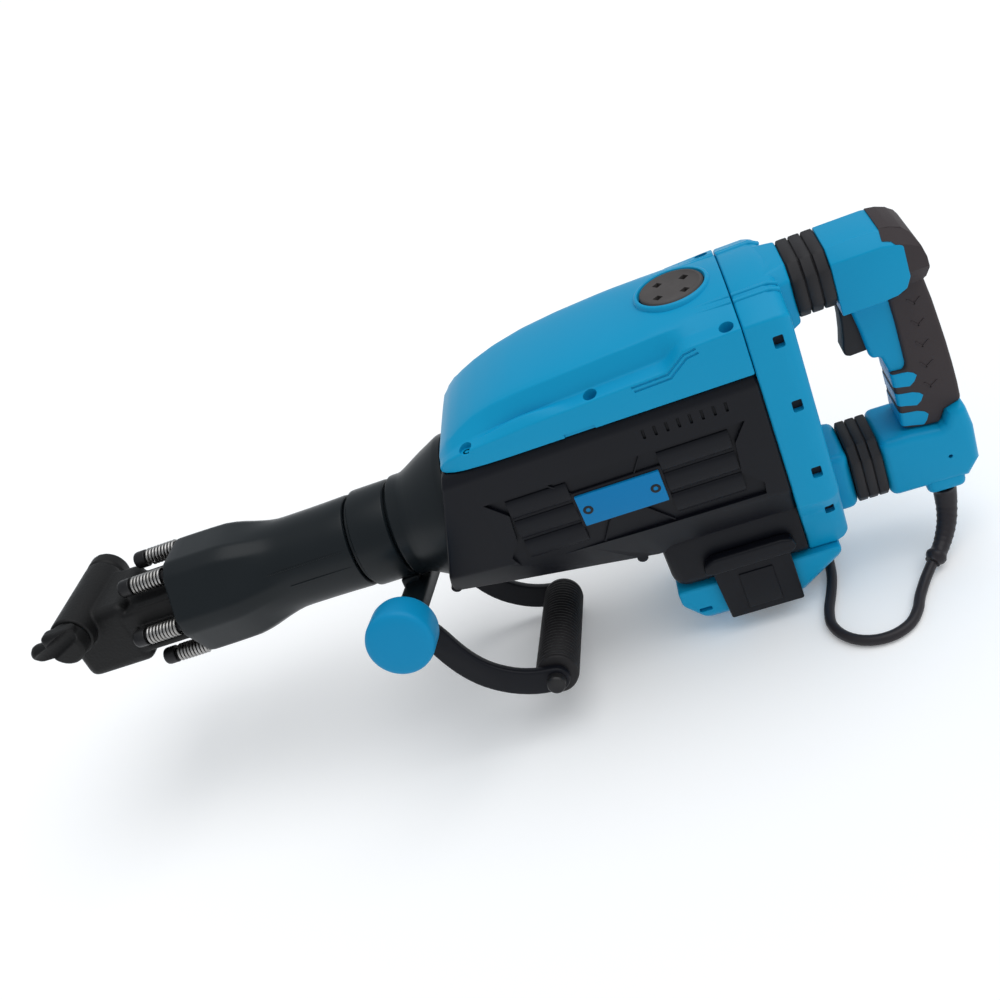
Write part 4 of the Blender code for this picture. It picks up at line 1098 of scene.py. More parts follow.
@dataclass
class MainHousing:
    """The black gear and motor housing with its fluted side panels and the badge plate."""

    shop: Workshop
    half_width: float = 62.6
    top: float = 65.7
    chamfer_foot: float = 58.5
    chamfer_width: float = 5.0
    panel_depth: float = 3.0
    vent_depth: float = 2.0
    sections: tuple[Point, ...] = ((211, -16, -41), (265, -20, -50), (325, -23, -59),
                                   (370, -27, -66), (474.4, -33, -66))
    panel: Profile = (
        (270, 35), (459, 35), (448.5, 20), (446.5, -5), (459, -19), (458, -28.5), (276, -28.5),
        (272, -16), (281, -3), (284, 20))
    flute_height: float = 23.0
    flute_pitch: float = 18.6
    flute_count: int = 3
    vent_pitch: float = 8.2
    vent_count: int = 8

    def build(self) -> None:
        """Makes the shell, the panels' relief and the badge."""
        pieces = [self.shop.dress(self.make_shell(), Paint.HOUSING_BLACK, 30)]
        for side in BOTH_SIDES:
            pieces.extend(self.panel_relief(side))
        housing = join("housing_shell", pieces)
        self.shop.mount(housing, tool_place(), Body.TOOL, "black_paint", ["main_housing"])
        self.make_badge()

    def make_shell(self) -> Object:
        """The hollow shell with its chamfered top edge, panel recesses and vents."""
        rings = []
        for station, shoulder, bottom in self.sections:
            half = [(0, bottom), (46, bottom), (self.half_width, shoulder),
                    (self.half_width, self.chamfer_foot),
                    (self.half_width - self.chamfer_width, self.top), (0, self.top)]
            rings.append(slice_at(station, mirrored(half)))
        shell = loft("shell", rings)
        lean = prism("lean", [(180, 120), (251, 120), (251, 66), (217, -30), (212, -60),
                              (212, -90), (180, -90)], -90, 90)
        combine(shell, [lean])
        round_edges(shell, 2.4, 3, 24)
        bulge = round_edges(block("bulge", (372, -50, -104.7), (485, 50, -50)), 12, 5)
        feet = [drill("boss", across_tool(x, -44, z), 4.2, 6, 24)
                for x, z in ((218, -38), (358, -63))]
        combine(shell, [bulge, *feet], "UNION")
        tools = [block("rear_face", (474.4, -80, -120), (500, 80, 80)),
                 block("foot_seam", (360, -70, -140), (490, 70, -103)),
                 lathe("case_socket", [(205, 0), (205, 43.4), (213, 47.5), (221, 51.5),
                                       (229, 55.1), (236, 58.3), (239, 59.2), (268, 59.2),
                                       (268, 0)], along_tool(), 96),
                 drill("liner_bore", along_tool(262), 30.3, 60, 64),
                 block("gear_space", (292, -57, -28), (490, 57, 80)),
                 block("lower_gear_space", (340, -43.5, -58), (490, 43.5, -20)),
                 drill("motor_space", Matrix.Translation((435, 0, -85)), 43.5, 90, 64)]
        finish = self.shop.finishes[Paint.HOUSING_BLACK]
        for side in BOTH_SIDES:
            outer = side * 70
            tools.append(prism("panel", self.panel, outer,
                               side * (self.half_width - self.panel_depth)))
            vent = block("vent", (392, outer, 46),
                         (394, side * (self.half_width - self.vent_depth), 54))
            tools.append(self.shop.repeat.run(round_edges(vent, 0.6, 2), self.vent_count, finish,
                                              pitch=(self.vent_pitch, 0, 0)))
        combine(shell, tools)
        strips = [block("seam_strip", (468, side * 55.5, -36), (482, side * 58.6, 61))
                  for side in BOTH_SIDES]
        return join("shell", [shell, *strips])

    def panel_relief(self, side: int) -> list[Object]:
        """Flutes, fine diagonals and the frame round the badge, on one side."""
        base = side * (self.half_width - self.panel_depth)
        made = []
        for start, end in ((285, 330), (396, 446)):
            flute = lathe("flute", [(0, 0), (0, 8.2), (end - start, 8.2), (end - start, 0)],
                          Matrix.Scale(0.33, 4, Vector((0, 1, 0))) @ along_tool(start, 0, 0), 32)
            set_place(flute, Matrix.Translation((0, base, self.flute_height)))
            made.append(self.shop.repeat.run(
                flute, self.flute_count, self.shop.finishes[Paint.HOUSING_BLACK],
                pitch=(0, 0, -self.flute_pitch)))
        for start, end in (
                ((331, 21), (317, 34)), ((377, 21), (385, 34)), ((349, -11), (340, -27)),
                ((377, -11), (392, -27))):
            made.append(ridge("line", start, end, 0.9, base - side, base + side * 1.6))
        frame = block("frame", (329.5, base - side, -10), (396, base + side * 2.2, 21.3))
        made.append(round_edges(frame, 1.0, 2))
        return [self.shop.dress(piece, Paint.HOUSING_BLACK) for piece in made]

    def make_badge(self) -> None:
        """The plain blue plate on the near side, held by a screw at each end."""
        plate = round_edges(block("plate", (332, -self.half_width - 1.5, -7.5),
                                  (393.6, -self.half_width + 1, 18.8)), 0.6, 2)
        self.shop.dress(plate, Paint.PLATE_BLUE)
        pieces = [plate]
        for station in (338, 387.6):
            place = across_tool(station, -self.half_width - 1.8, 5.6)
            screw = screw_head("screw", place, 3.9, 2.4)
            pieces.append(self.shop.dress(screw, Paint.BLACK_ENAMEL))
        badge = join("badge_plate", pieces)
        self.shop.mount(badge, tool_place(), Body.TOOL, "blue_plastic", ["name_plate"])


@dataclass
class TopCover:
    """The blue cover over the gears, with a ledge, a scooped side wall and the grease cap."""

    shop: Workshop
    seam: float = 66.3
    top: Profile = (
        (252, 74), (256, 79), (262, 84.5), (272, 90.5), (285, 96), (300, 100.8), (315, 104.5),
        (337, 107.6), (360, 110), (380, 111.2), (400, 112), (412, 113), (420, 114), (440, 114.6),
        (460, 114.8), (474.5, 115))
    width: Profile = (
        (252, 53), (256, 56.2), (262, 58.8), (270, 60.6), (285, 62), (300, 62.6), (474.5, 62.6))
    band: Profile = (
        (252, 70.2), (256, 74), (262, 77.5), (272, 80.5), (285, 82.3), (315, 84.6), (345, 86.6),
        (378, 88.2), (396, 88.8), (421, 89.6), (424, 91.2), (434, 99.6), (438, 101), (474.5, 102.4))
    wall_side: Profile = (
        (252, 42), (262, 43.5), (272, 42.5), (286, 41.5), (303, 43), (327, 45.5), (355, 47),
        (400, 47), (440, 44.5), (474.5, 39))
    ledge_side: Profile = (
        (252, 46), (262, 50), (275, 52), (290, 51.5), (315, 51), (360, 51), (421, 51), (434, 51.5),
        (474.5, 50))
    ledge_rise: Profile = (
        (252, 1.0), (285, 1.8), (360, 2.6), (421, 3.4), (434, 2.6), (474.5, 2.8))
    wall_height: Profile = (
        (252, 73.4), (262, 82), (272, 88.4), (286, 94.6), (303, 99.4), (327, 103.3), (355, 105.7),
        (389, 107.7), (420, 108.7), (474.5, 109.6))
    swell_start: float = 284.0
    swell_length: float = 70.0
    swell_rise: float = 4.6
    cap_station: float = 440.0
    cap_radius: float = 22.5

    def build(self) -> None:
        """Makes the cover with its screws, and the cap."""
        cover = round_edges(self.make_skin(), 1.3, 3, 22)
        combine(cover, self.cutters())
        pieces = [self.shop.dress(cover, Paint.BLUE_PLASTIC, 28)]
        for station, side, height in self.screw_places():
            head = screw_head("screw", Matrix.Translation((station, side, height - 5.5)), 3.6)
            pieces.append(self.shop.dress(head, Paint.DARK_STEEL))
        for side in BOTH_SIDES:
            for start, across, height in ((428, 32.5, 110.9), (404, 38.0, 109.3)):
                points = [Vector((start, side * (across + 1), height - 2.6)),
                          Vector((start + 14, side * across, height - 0.9)),
                          Vector((473.6, side * across, height))]
                rib = sweep("rib", points, [1.8] * 3, 14)
                pieces.append(self.shop.dress(rib, Paint.BLUE_PLASTIC, 60))
        joined = join("top_cover_shell", pieces)
        self.shop.mount(joined, tool_place(), Body.TOOL, "blue_plastic", ["top_cover"])
        self.make_cap()

    def make_skin(self) -> Object:
        """The outer skin, lofted through close sections."""
        stations = [252, 254, 256, 259, 262]
        stations += [262 + (474.5 - 262) * k / 54 for k in range(1, 55)]
        return loft("cover", [slice_at(x, mirrored(self.half_section(x))) for x in stations])

    def half_section(self, station: float) -> list[tuple[float, float]]:
        """Half of the outline at a station, from the middle of the seam round to the crown."""
        wide, band = between(self.width, station), between(self.band, station)
        ledge, wall = between(self.ledge_side, station), between(self.wall_side, station)
        ledge_up = band + between(self.ledge_rise, station)
        wall_up, top = between(self.wall_height, station), between(self.top, station)
        rise = top - wall_up
        share_along = min(1.0, max(0.0, (station - self.swell_start) / self.swell_length))
        swell = self.swell_rise * math.sin(math.pi * share_along) ** 1.2
        half = [(0.0, self.seam), (wide, self.seam), (wide, band)]
        for share, bump in ((0.25, 0.5), (0.5, 1.0), (0.75, 0.75)):
            half.append((wide + (ledge - wide) * share,
                         band + (ledge_up - band) * share + swell * bump))
        half += [(ledge, ledge_up), (wall, wall_up)]
        for across, up in ((0.86, 0.34), (0.68, 0.62), (0.5, 0.8), (0.32, 0.92), (0.16, 0.98)):
            half.append((wall * across, wall_up + rise * up))
        return [*half, (0.0, top)]

    def screw_places(self) -> list[Point]:
        """Where the cover's screws sit, on both sides."""
        near = [(276, -57.0, 84.0), (369, -56.5, 88.5), (466, -56.6, 103.0)]
        return near + [(x, -y, z) for x, y, z in near]

    def cutters(self) -> list[Object]:
        """The hollow, the cap's seat, screw recesses, hook grooves and the latch notch."""
        tools = [block("hollow", (280, -55, 55), (490, 55, 82)),
                 block("hollow_top", (310, -30, 70), (490, 30, 96)),
                 drill("cap_seat", Matrix.Translation((self.cap_station, 0, 120)), 23.2, 20, 72)]
        for station, side, height in self.screw_places():
            tools.append(drill("recess", Matrix.Translation((station, side, height)), 4.9, 11, 36))
        for side in BOTH_SIDES:
            for drop in (2.0, 5.4):
                route = [(396, 88.8), (408, 89.2), (421, 89.6), (434.5, 99.8), (443, 101.2)]
                points = [Vector((x + drop * 0.3, side * 62.5, z - drop)) for x, z in route]
                tools.append(sweep("hook", points, [0.95] * len(points), 10))
            tools.append(block("notch", (343, side * 60.8, 60), (365, side * 66, 69.6)))
        return tools

    def make_cap(self) -> None:
        """The grease cap with four square key holes, in a raised ring."""
        radius = self.cap_radius
        cap = lathe("cap", [
            (110, 0), (110, radius), (115.2, radius), (116.2, radius - 0.8),
            (116.4, radius - 2.2), (115.4, radius - 4), (115.2, 9), (115.5, 6), (115.5, 0)],
            None, 96)
        holes = []
        for k in range(4):
            angle = math.radians(40 + 90 * k)
            turn = Matrix.Rotation(angle, 4, "Z") @ Matrix.Translation((13.2, 0, 114))
            hole = block("key", (-2.6, -2.6, -2), (2.6, 2.6, 4))
            holes.append(set_place(hole, turn))
        combine(cap, holes)
        set_place(cap, Matrix.Translation((self.cap_station, 0, 0)))
        self.shop.dress(cap, Paint.CAP_GREY, 30)
        ring = lathe("ring", [(110, 23.4), (114.9, 23.4), (116.1, 24.0), (116.3, 25.2),
                              (115.6, 26.4), (113.0, 27.4), (110, 27.6)],
                     Matrix.Translation((self.cap_station, 0, 0)), 96)
        self.shop.dress(ring, Paint.BLUE_PLASTIC, 50)
        for piece, name, slot, nodes in ((cap, "grease_cap_key", "cap_plastic", ["grease_cap"]),
                                         (ring, "grease_cap_ring", "blue_plastic", [])):
            piece.name = name
            self.shop.mount(piece, tool_place(), Body.TOOL, slot, nodes)


@dataclass
class RearCover:
    """The blue rear cover, with its screw pockets and the two stubs that carry the handle."""

    shop: Workshop
    start: float = 475.0
    outline: Profile = (
        (0, -104.7), (44, -104.7), (52, -66), (62.6, -50), (62.6, 102), (50, 105),
        (39, 109.4), (33.5, 111.2), (26.5, 112.7), (19.5, 113.7), (0, 115))
    pockets: tuple[tuple[float, float, float], ...] = (
        (494, 61.5, 84), (494, 62.0, 33), (494, 62.0, -24), (496, 50.5, -66))

    def build(self) -> None:
        """Makes the cover, and near-black plates of painted shade at the backs of its pockets."""
        front = mirrored(self.outline)
        back = [(side * 0.93, 10 + (up - 10) * 0.95) for side, up in front]
        shoulder = [(side * 0.975, 10 + (up - 10) * 0.985) for side, up in front]
        cover = loft("cover", [slice_at(self.start, front), slice_at(496, front),
                               slice_at(502.5, shoulder), slice_at(506, back)])
        round_edges(cover, 2.2, 3, 20)
        rings = []
        for station, wide, low, high in ((478, 36, 60, 111.8), (500, 32, 66, 112.6),
                                         (514, 27, 71, 113)):
            rings.append(slice_at(station, mirrored([
                (0, low), (wide, low), (wide, high - 9), (wide - 9, high), (0, high)])))
        upper = round_edges(loft("upper", rings), 2, 3, 20)
        lower = round_edges(block("lower", (490, -25.5, -96), (520, 25.5, -45)), 7, 4)
        combine(cover, [upper, lower], "UNION")
        tools = [block("hollow", (460, -56, -44), (499, 56, 66)),
                 block("hollow_low", (460, -38, -96), (499, 38, -40)),
                 block("hollow_top", (460, -30, 60), (499, 30, 96)),
                 drill("upper_rod", along_tool(505, 0, 92), 6.3, 60),
                 drill("lower_rod", along_tool(508, 0, -70), 6.3, 60)]
        pocket_shade_plates = []
        for station, reach, height in self.pockets:
            for side in BOTH_SIDES:
                pocket = block("pocket", (station - 3, side * (reach - 7), height - 4.6),
                               (station + 4, side * (reach + 8), height + 4.6))
                tools.append(round_edges(pocket, 1.2, 2))
                # A near-black plate behind each pocket: painted shade for the pocket's depth.
                inside = block("inside", (station - 4, side * (reach - 8), height - 5.6),
                               (station + 5, side * (reach - 4.5), height + 5.6))
                pocket_shade_plates.append(self.shop.dress(inside, Paint.POCKET_PAINTED_SHADE))
        combine(cover, tools)
        self.shop.dress(cover, Paint.BLUE_PLASTIC, 28)
        ribs = []
        for side in BOTH_SIDES:
            for across, height in ((32.5, 110.7), (38.0, 109.0)):
                points = [Vector((475.6, side * across, height)),
                          Vector((499, side * across, height)),
                          Vector((505, side * (across - 1), height - 3))]
                rib = sweep("rib", points, [1.8] * 3, 14)
                ribs.append(self.shop.dress(rib, Paint.BLUE_PLASTIC, 60))
        joined = join("rear_cover_shell", [cover, *pocket_shade_plates, *ribs])
        self.shop.mount(joined, tool_place(), Body.TOOL, "blue_plastic", ["rear_cover"])


@dataclass
class MotorFoot:
    """The blue foot under the motor and the two brush covers."""

    shop: Workshop
    half_width: float = 50.0
    seam: float = -105.0
    sections: Profile = ((372, -139), (386, -156), (462, -156),
                                                 (480, -143), (497, -131))

    def build(self) -> None:
        """Makes the foot and its brush covers."""
        rings = []
        for station, bottom in self.sections:
            half = [(0, bottom), (27, bottom), (45, bottom + 17), (self.half_width, bottom + 22),
                    (self.half_width, self.seam), (0, self.seam)]
            rings.append(slice_at(station, mirrored(half)))
        foot = round_edges(loft("foot", rings), 2.6, 3, 20)
        tools = [drill("hollow", Matrix.Translation((435, 0, -122)), 43.5, 60, 64)]
        for side in BOTH_SIDES:
            for station in (388, 480):
                slot = block("slot", (station - 5, side * 44, -129),
                             (station + 5, side * 56, -125))
                tools.append(round_edges(slot, 1.0, 2))
        combine(foot, tools)
        self.shop.dress(foot, Paint.BLUE_PLASTIC, 28)
        foot.name = "motor_foot_shell"
        self.shop.mount(foot, tool_place(), Body.TOOL, "blue_plastic", ["motor_cap"])
        for side, name in ((-1, "brush_cover_near"), (1, "brush_cover_far")):
            self.make_brush_cover(side, name)

    def make_brush_cover(self, side: int, node: str) -> None:
        """A dark cover over one brush: a plate, a rounded hood and a raised field."""
        inner = side * (self.half_width + 0.3)
        plate = round_edges(prism("plate", [(402, -82), (461, -82), (461, -139), (405, -139)],
                                  inner, side * (self.half_width + 5.5)), 1.6, 3)
        hood = round_edges(prism("hood", [
            (397, -88), (399, -80), (406, -76), (457, -76), (465, -78), (467, -86), (462, -90),
            (404, -90)], inner, side * (self.half_width + 9.4)), 2.4, 4, 20)
        field_plate = round_edges(block("field", (420, inner, -132), (
            446, side * (self.half_width + 6.6), -98)), 1.0, 2)
        combine(plate, [hood, field_plate], "UNION")
        self.shop.dress(plate, Paint.HOUSING_BLACK, 30)
        plate.name = f"{node}_shell"
        self.shop.mount(plate, tool_place(), Body.TOOL, "black_plastic", [node])


# ---------------------------------------------------------------- rear handle


@dataclass
class RearHandle:
    """The sprung D handle: its blocks, grip core, rubber grip and trigger."""

    shop: Workshop
    core_half: float = 14.5
    rubber_half: float = 17.8
    core_outline: Profile = (
        (546.5, 68), (547.7, 58), (550.1, 42.5), (552.3, 22), (553.6, 17.8), (559.6, 17.2),
        (562.4, 5), (563.3, -8.6), (563.3, -27), (563, -47), (584, -47), (588, 0), (588, 30),
        (586, 60), (584, 80), (566, 80))
    rubber_outline: Profile = (
        (572, 61.5), (573.2, 41), (573.8, 9), (573.2, 4.6), (570.5, 3.4), (562.6, 4.4),
        (562.9, -8.6), (562.9, -27), (562.3, -44), (573.5, -47.4), (588.5, -48.6), (593, -39),
        (605.4, -34.8), (605.2, -20), (604.4, -4), (603, 15), (601, 35), (599.4, 50), (597, 66),
        (596, 80), (592, 84), (588, 72), (582, 65))
    cap_half: float = 27.6
    cap_outline: Profile = (
        (575.5, 113.2), (582, 112), (588.5, 109.2), (593.5, 104.2), (597, 97), (599.3, 88),
        (599.8, 79), (598, 70.5), (593.5, 65.5), (583, 65.5), (585.4, 76), (585.6, 92),
        (584, 101), (580, 105.6), (574.6, 107.5))
    leaves: tuple[Profile, ...] = (
        ((550, 3.2), (562.7, 2.8), (574, 1.6), (577.5, -0.4), (579.4, -3.1), (577, -7.4),
         (573.4, -10.2), (566, -8.4), (550, -5.6)),
        ((550, -12.8), (562.9, -13.7), (574.1, -15.8), (578.6, -18), (580.8, -20.7), (578.6, -25),
         (575.3, -27.5), (567, -25), (550, -21)),
        ((550, -29.4), (562.3, -30.3), (574.5, -32.4), (579.4, -34.8), (581.6, -37.8),
         (579.8, -42.4), (577.2, -45.4), (569, -43), (550, -39)))

    def build(self) -> None:
        """Makes the frame, the rubber and the trigger."""
        self.make_frame()
        self.make_rubber()
        self.make_trigger()

    def make_frame(self) -> None:
        """The blue frame: both blocks, the core and the boss the lead comes out of."""
        frame = round_edges(prism("core", self.core_outline, -self.core_half, self.core_half),
                            4, 4, 50)
        top = prism("top", [
            (540.3, 113), (572, 113), (579, 111.4), (584, 107), (586.6, 100), (587, 78),
            (583.5, 70.5), (577, 67.4), (568, 66.4), (540.3, 66)], -28, 28)
        combine(top, self.edge_cutters(0.0))
        round_edges(top, 2.6, 3, 20)
        bottom = round_edges(prism("bottom", [
            (543.3, -46), (566, -46.4), (586, -49.6), (590, -47.4), (594, -38.4), (605.4, -33.6),
            (609, -56), (609, -84), (600, -97), (543.3, -96)], -26, 26), 6, 4, 60)
        boss = round_edges(block("boss", (569, -25.5, -105), (597, -2, -90)), 5, 4)
        combine(frame, [top, boss, bottom], "UNION")
        tools = [drill("upper_guide", along_tool(540, 0, 92), 7, 60),
                 drill("lower_guide", along_tool(543, 0, -70), 7, 60),
                 block("trigger_slot", (530, -9.7, 20.4), (562.5, 9.7, 66)),
                 block("switch_space", (545, -9.6, 60), (580, 9.6, 82)),
                 drill("pin_hole", across_tool(589, -26, -74), 1.6, 8)]
        combine(frame, tools)
        self.shop.dress(frame, Paint.BLUE_PLASTIC, 28)
        frame.name = "handle_shell"
        self.shop.mount(frame, tool_place(), Body.HANDLE, "blue_plastic", ["handle_frame"])

    @staticmethod
    def edge_cutters(offset: float) -> list[Object]:
        """Two cutters that chamfer the long upper edges of the top block.

        Args:
            offset: How far the cut stands off the block's own chamfer.
        """
        cutters = []
        for side in BOTH_SIDES:
            rings = []
            for station, high in ((530, 113), (573, 113), (583, 110.5), (592, 106), (604, 99)):
                near, level = 17 + offset, high + 0.4 + offset
                rings.append(slice_at(station, [
                    (side * near, level), (side * (near + 12), level - 9),
                    (side * 40, level - 9), (side * 40, level + 20),
                    (side * near, level + 20)][::side]))
            cutters.append(loft("chamfer", rings))
        return cutters

    def make_rubber(self) -> None:
        """The rubber grip and its cap, with blue leaves, and raised chevrons on both sides."""
        rubber = round_edges(prism("rubber", self.rubber_outline, -self.rubber_half,
                                   self.rubber_half), 5.5, 5, 50)
        cap = prism("cap", self.cap_outline, -self.cap_half, self.cap_half)
        cutters = self.edge_cutters(0.3)
        for side in BOTH_SIDES:
            under = [(side * 29, 83), (side * 17.6, 67), (side * 17.6, 55), (side * 45, 55),
                     (side * 45, 83)][::-side]
            cutters.append(loft("under", [slice_at(station, under) for station in (570, 610)]))
        combine(cap, cutters)
        round_edges(cap, 3.0, 4, 24)
        pieces = [self.shop.dress(rubber, Paint.GRIP_RUBBER, 40),
                  self.shop.dress(cap, Paint.GRIP_RUBBER, 40)]
        near = [(x - 0.35 if x < 570 else x, z) for x, z in self.rubber_outline]
        for outline in self.leaves:
            leaf = prism("leaf", outline, -30, 30)
            body = round_edges(prism("body", near, -self.rubber_half - 0.3,
                                     self.rubber_half + 0.3), 5.5, 5, 50)
            combine(leaf, [body], "INTERSECT")
            pieces.append(self.shop.dress(leaf, Paint.BLUE_PLASTIC, 40))
        for side in BOTH_SIDES:
            foot, crest = side * (self.rubber_half - 1), side * (self.rubber_half + 0.45)
            for k in range(5):
                height = 52 - 17 * k
                for end in ((591.5, height + 3.5), (583.5, height + 4.5)):
                    mark = ridge("chevron", (587.5 - 0.2 * k, height), end, 0.9, foot, crest)
                    pieces.append(self.shop.dress(mark, Paint.GRIP_RUBBER))
        grip = join("grip_sleeve_rear", pieces)
        self.shop.mount(grip, tool_place(), Body.HANDLE, "grip_rubber", ["grip_rubber"])

    def make_trigger(self) -> None:
        """The paddle trigger."""
        trigger = round_edges(prism("trigger_paddle", [
            (541, 61.5), (554, 61.5), (555.6, 42), (555.4, 23.2), (541, 22.6), (537.8, 24),
            (537, 27.4), (539, 38), (540.4, 50)], -9, 9), 1.6, 4, 40)
        self.shop.dress(trigger, Paint.BLACK_RUBBER, 40)
        self.shop.mount(trigger, tool_place(), Body.TRIGGER, "black_plastic", ["trigger"])


@dataclass
class Bellows:
    """One ribbed rubber sleeve between the rear cover and the handle."""

    shop: Workshop
    name: str
    node: str
    start: float
    end: float
    half_width: float
    low: float
    high: float
    ribs: int = 3
    chamfer: float = 9.0
    growth: float = 0.8
    groove: float = 0.8

    def build(self) -> None:
        """Makes the sleeve between the tool and the handle."""
        rings = []
        pitch = (self.end - self.start) / self.ribs
        for k in range(self.ribs):
            first = self.start + k * pitch
            for share, grow in ((0.0, -self.groove), (0.035, -self.groove), (0.05, 0.2),
                                (0.12, self.growth), (0.5, self.growth * 1.1),
                                (0.88, self.growth), (0.95, 0.2), (0.965, -self.groove)):
                rings.append(slice_at(first + pitch * share, self.outline(grow)))
        rings.append(slice_at(self.end, self.outline(-self.groove)))
        sleeve = loft(self.name, rings)
        hollow = block("hollow", (self.start - 10, -self.half_width + 8, self.low + 8),
                       (self.end + 10, self.half_width - 8, self.high - 8))
        combine(sleeve, [hollow])
        self.shop.dress(sleeve, Paint.BLACK_RUBBER, 50)
        set_place(sleeve, tool_place())
        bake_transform(sleeve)
        self.shop.declare(sleeve, "black_rubber", [self.node])

    def outline(self, grow: float) -> list[tuple[float, float]]:
        """A chamfered rectangle, grown outwards, its corners eased."""
        wide, top, bottom = self.half_width + grow, self.high + grow, self.low - grow
        cut, ease = self.chamfer, 2.0
        half = [(0, bottom), (wide - cut - ease, bottom), (wide - cut, bottom + ease * 0.6),
                (wide - ease * 0.6, bottom + cut), (wide, bottom + cut + ease),
                (wide, top - cut - ease), (wide - ease * 0.6, top - cut),
                (wide - cut, top - ease * 0.6), (wide - cut - ease, top), (0, top)]
        return mirrored(half)


# ---------------------------------------------------------------- side handle


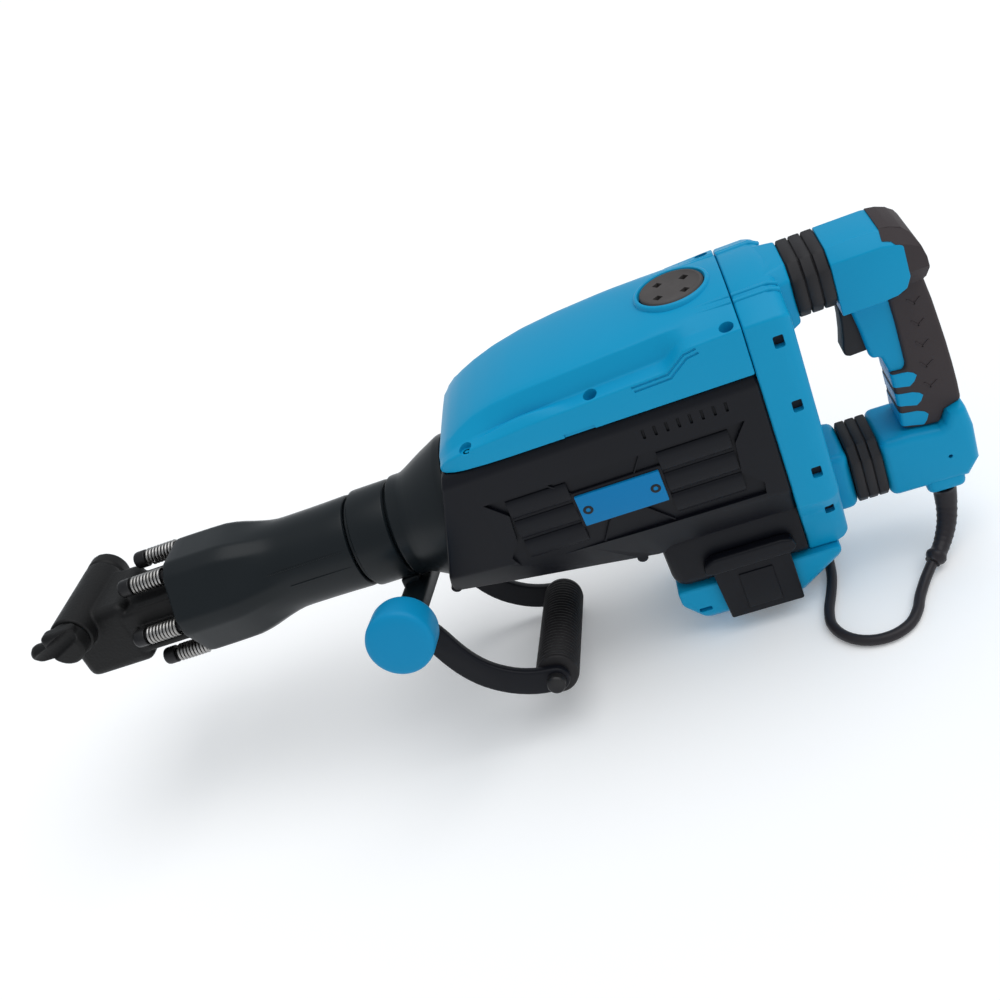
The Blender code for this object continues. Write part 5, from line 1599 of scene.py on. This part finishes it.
@dataclass
class SideHandle:
    """Clamp, arms, ribbed grip and knob of the side handle."""

    shop: Workshop
    bolt_station: float = 184.0
    bolt_drop: float = 46.5
    arm_side: float = 70.0
    arm_thickness: float = 8.0
    arm_half_width: float = 10.0
    arm_gap: float = 0.3
    grip: tuple[float, float] = (271.5, 127.4)
    grip_radius: float = 16.6
    ridges: int = 27
    knob_radius: float = 25.5
    knob_length: float = 34.0
    arm_line: Profile = (
        (184, 46.5), (196.5, 66), (204.5, 83), (213, 97), (224, 109), (239, 119), (255, 125),
        (271.5, 127.4))

    @property
    def reach(self) -> float:
        """Half the length of what fits between the two arms."""
        return self.arm_side - self.arm_thickness / 2 - self.arm_gap

    def build(self) -> None:
        """Makes every piece of the side handle."""
        self.make_clamp()
        self.make_knob()
        self.make_arms()
        self.make_grip()

    def make_clamp(self) -> None:
        """The clamp band with the yoke under it."""
        clamp = lathe("clamp", [
            (156, 35.4), (156, 37.6), (157, 38.8), (158.5, 39), (184.5, 39), (186, 38.8),
            (187, 37.6), (187, 35.4)], along_tool(), 128)
        reach = self.reach
        web = round_edges(block("web", (172, -16, -46), (187, 16, -36.4)), 2.0, 3)
        yoke = round_edges(block("yoke", (173, -reach, -54), (195, reach, -41.2)), 3.0, 4)
        combine(clamp, [web, yoke], "UNION")
        bolt_axis = across_tool(self.bolt_station, 0, -self.bolt_drop)
        combine(clamp, [drill("bolt_hole", bolt_axis, 4.9, 180)])
        self.shop.dress(clamp, Paint.BLACK_ENAMEL, 30)
        clamp.name = "clamp_shell"
        swing = Matrix.Rotation(-SWING, 4, "X")
        self.shop.mount(clamp, tool_place() @ swing, Body.CLAMP, "black_paint", ["handle_clamp"])

    def make_knob(self) -> None:
        """The smooth blue knob with a slightly crowned end."""
        start = self.arm_side + self.arm_thickness / 2 + 1
        end, radius = start + self.knob_length, self.knob_radius
        knob = lathe("knob_shell", [
            (start, 4.8), (start, 19.5), (start + 0.6, 20.6), (start + 3.5, 23.4),
            (start + 6, 24.8), (start + 9, radius), (end - 6, radius), (end - 3.4, radius - 0.5),
            (end - 1.7, radius - 1.9), (end - 0.9, radius - 4.2), (end - 0.4, radius - 9),
            (end - 0.1, 10), (end, 4), (end, 0.01), (start + 14, 0.01), (start + 14, 4.8)],
            None, 96)
        self.shop.dress(knob, Paint.KNOB_BLUE, 50)
        place = side_handle_place(self.bolt_station, self.bolt_drop)
        self.shop.mount(knob, place, Body.KNOB, "blue_plastic", ["clamp_knob"])

    def make_arms(self) -> None:
        """The two curved flat arms."""
        centre = smooth_curve([Vector((x, -drop, 0)) for x, drop in self.arm_line], 6.0)
        half = self.arm_half_width
        left, right = [], []
        for i, point in enumerate(centre):
            along = (centre[min(i + 1, len(centre) - 1)] - centre[max(i - 1, 0)]).normalized()
            across = Vector((-along.y, along.x, 0)) * half
            left.append(point + across)
            right.append(point - across)
        outline = [*left, *self.half_round(centre[-1], centre[-2], half), *reversed(right),
                   *self.half_round(centre[0], centre[1], half)]
        for sign, node in ((1, "handle_arm_near"), (-1, "handle_arm_far")):
            low = sign * self.arm_side - self.arm_thickness / 2
            high = sign * self.arm_side + self.arm_thickness / 2
            arm = loft("arm", [[(p.x, p.y, z) for p in outline] for z in (low, high)])
            round_edges(arm, 2.2, 4, 50)
            for station, drop in ((self.bolt_station, self.bolt_drop), self.grip):
                hole = drill("hole", Matrix.Translation((station, -drop, low + 4)), 5, 18)
                combine(arm, [hole])
            self.shop.dress(arm, Paint.HOUSING_BLACK, 30)
            arm.name = f"{node}_bar"
            self.shop.mount(arm, side_handle_place(0, 0), Body.LOOP, "black_paint", [node])

    @staticmethod
    def half_round(tip: Vector, inside: Vector, radius: float) -> list[Vector]:
        """Points of the round end of a bar, between its two sides."""
        along = (tip - inside).normalized()
        start, parts = math.atan2(along.x, -along.y), 12
        return [tip + radius * Vector((math.cos(start - math.pi * k / parts),
                                       math.sin(start - math.pi * k / parts), 0))
                for k in range(1, parts)]

    def make_grip(self) -> None:
        """The ribbed rubber sleeve on its rod."""
        reach = self.reach
        pitch = 2 * (reach - 3) / self.ridges
        outer = [(-reach, self.grip_radius - 2.4), (-reach + 1, self.grip_radius - 0.8),
                 (-reach + 3, self.grip_radius - 0.6)]
        for k in range(self.ridges):
            base = -reach + 3 + pitch * k
            for share, rise in ((0.08, -1.9), (0.3, -0.3), (0.5, 0.0), (0.7, -0.3),
                                (0.92, -1.9)):
                outer.append((base + pitch * share, self.grip_radius + rise))
        outer += [(reach - 3, self.grip_radius - 0.6), (reach - 1, self.grip_radius - 0.8),
                  (reach, self.grip_radius - 2.4)]
        sleeve = lathe("ribbed_grip", [*outer, (reach, 5), (-reach, 5)], None, 56)
        self.shop.dress(sleeve, Paint.SLEEVE_RUBBER, 60)
        place = side_handle_place(*self.grip)
        self.shop.mount(sleeve, place, Body.LOOP, "black_rubber", ["grip_sleeve"])
        end = self.arm_side + self.arm_thickness / 2 + self.arm_gap
        rod = lathe("rod", [(-end - 5, 0), (-end - 5, 6), (-end - 4, 7), (-end, 7), (-end, 4.6),
                            (end, 4.6), (end, 7), (end + 6.4, 7), (end + 7.6, 6), (end + 8, 4),
                            (end + 8, 0)], None, 32)
        self.shop.dress(rod, Paint.DARK_STEEL)
        rod.name = "grip_rod_turned"
        self.shop.mount(rod, place, Body.LOOP, "black_steel", ["grip_rod"])


# ---------------------------------------------------------------- the whole tool


def main() -> None:
    """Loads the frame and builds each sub-assembly."""
    logging.basicConfig(level=logging.INFO, format="%(message)s")
    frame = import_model()
    Studio().build()
    shop = Workshop()
    shop.dress_nodes(frame)
    assemblies = [
        MainsLead(shop), Nose(shop), Barrel(shop), MainHousing(shop), TopCover(shop),
        RearCover(shop), MotorFoot(shop), RearHandle(shop),
        Bellows(shop, "bellows_upper", "upper_bellows", 514.3, 540.0, 27.5, 71.0, 112.0),
        Bellows(shop, "bellows_lower", "lower_bellows", 520.3, 543.0, 26.0, -96.0, -45.0),
        SideHandle(shop)]
    for assembly in assemblies:
        log.info("building %s", type(assembly).__name__)
        assembly.build()


if __name__ == "__main__":
    main()
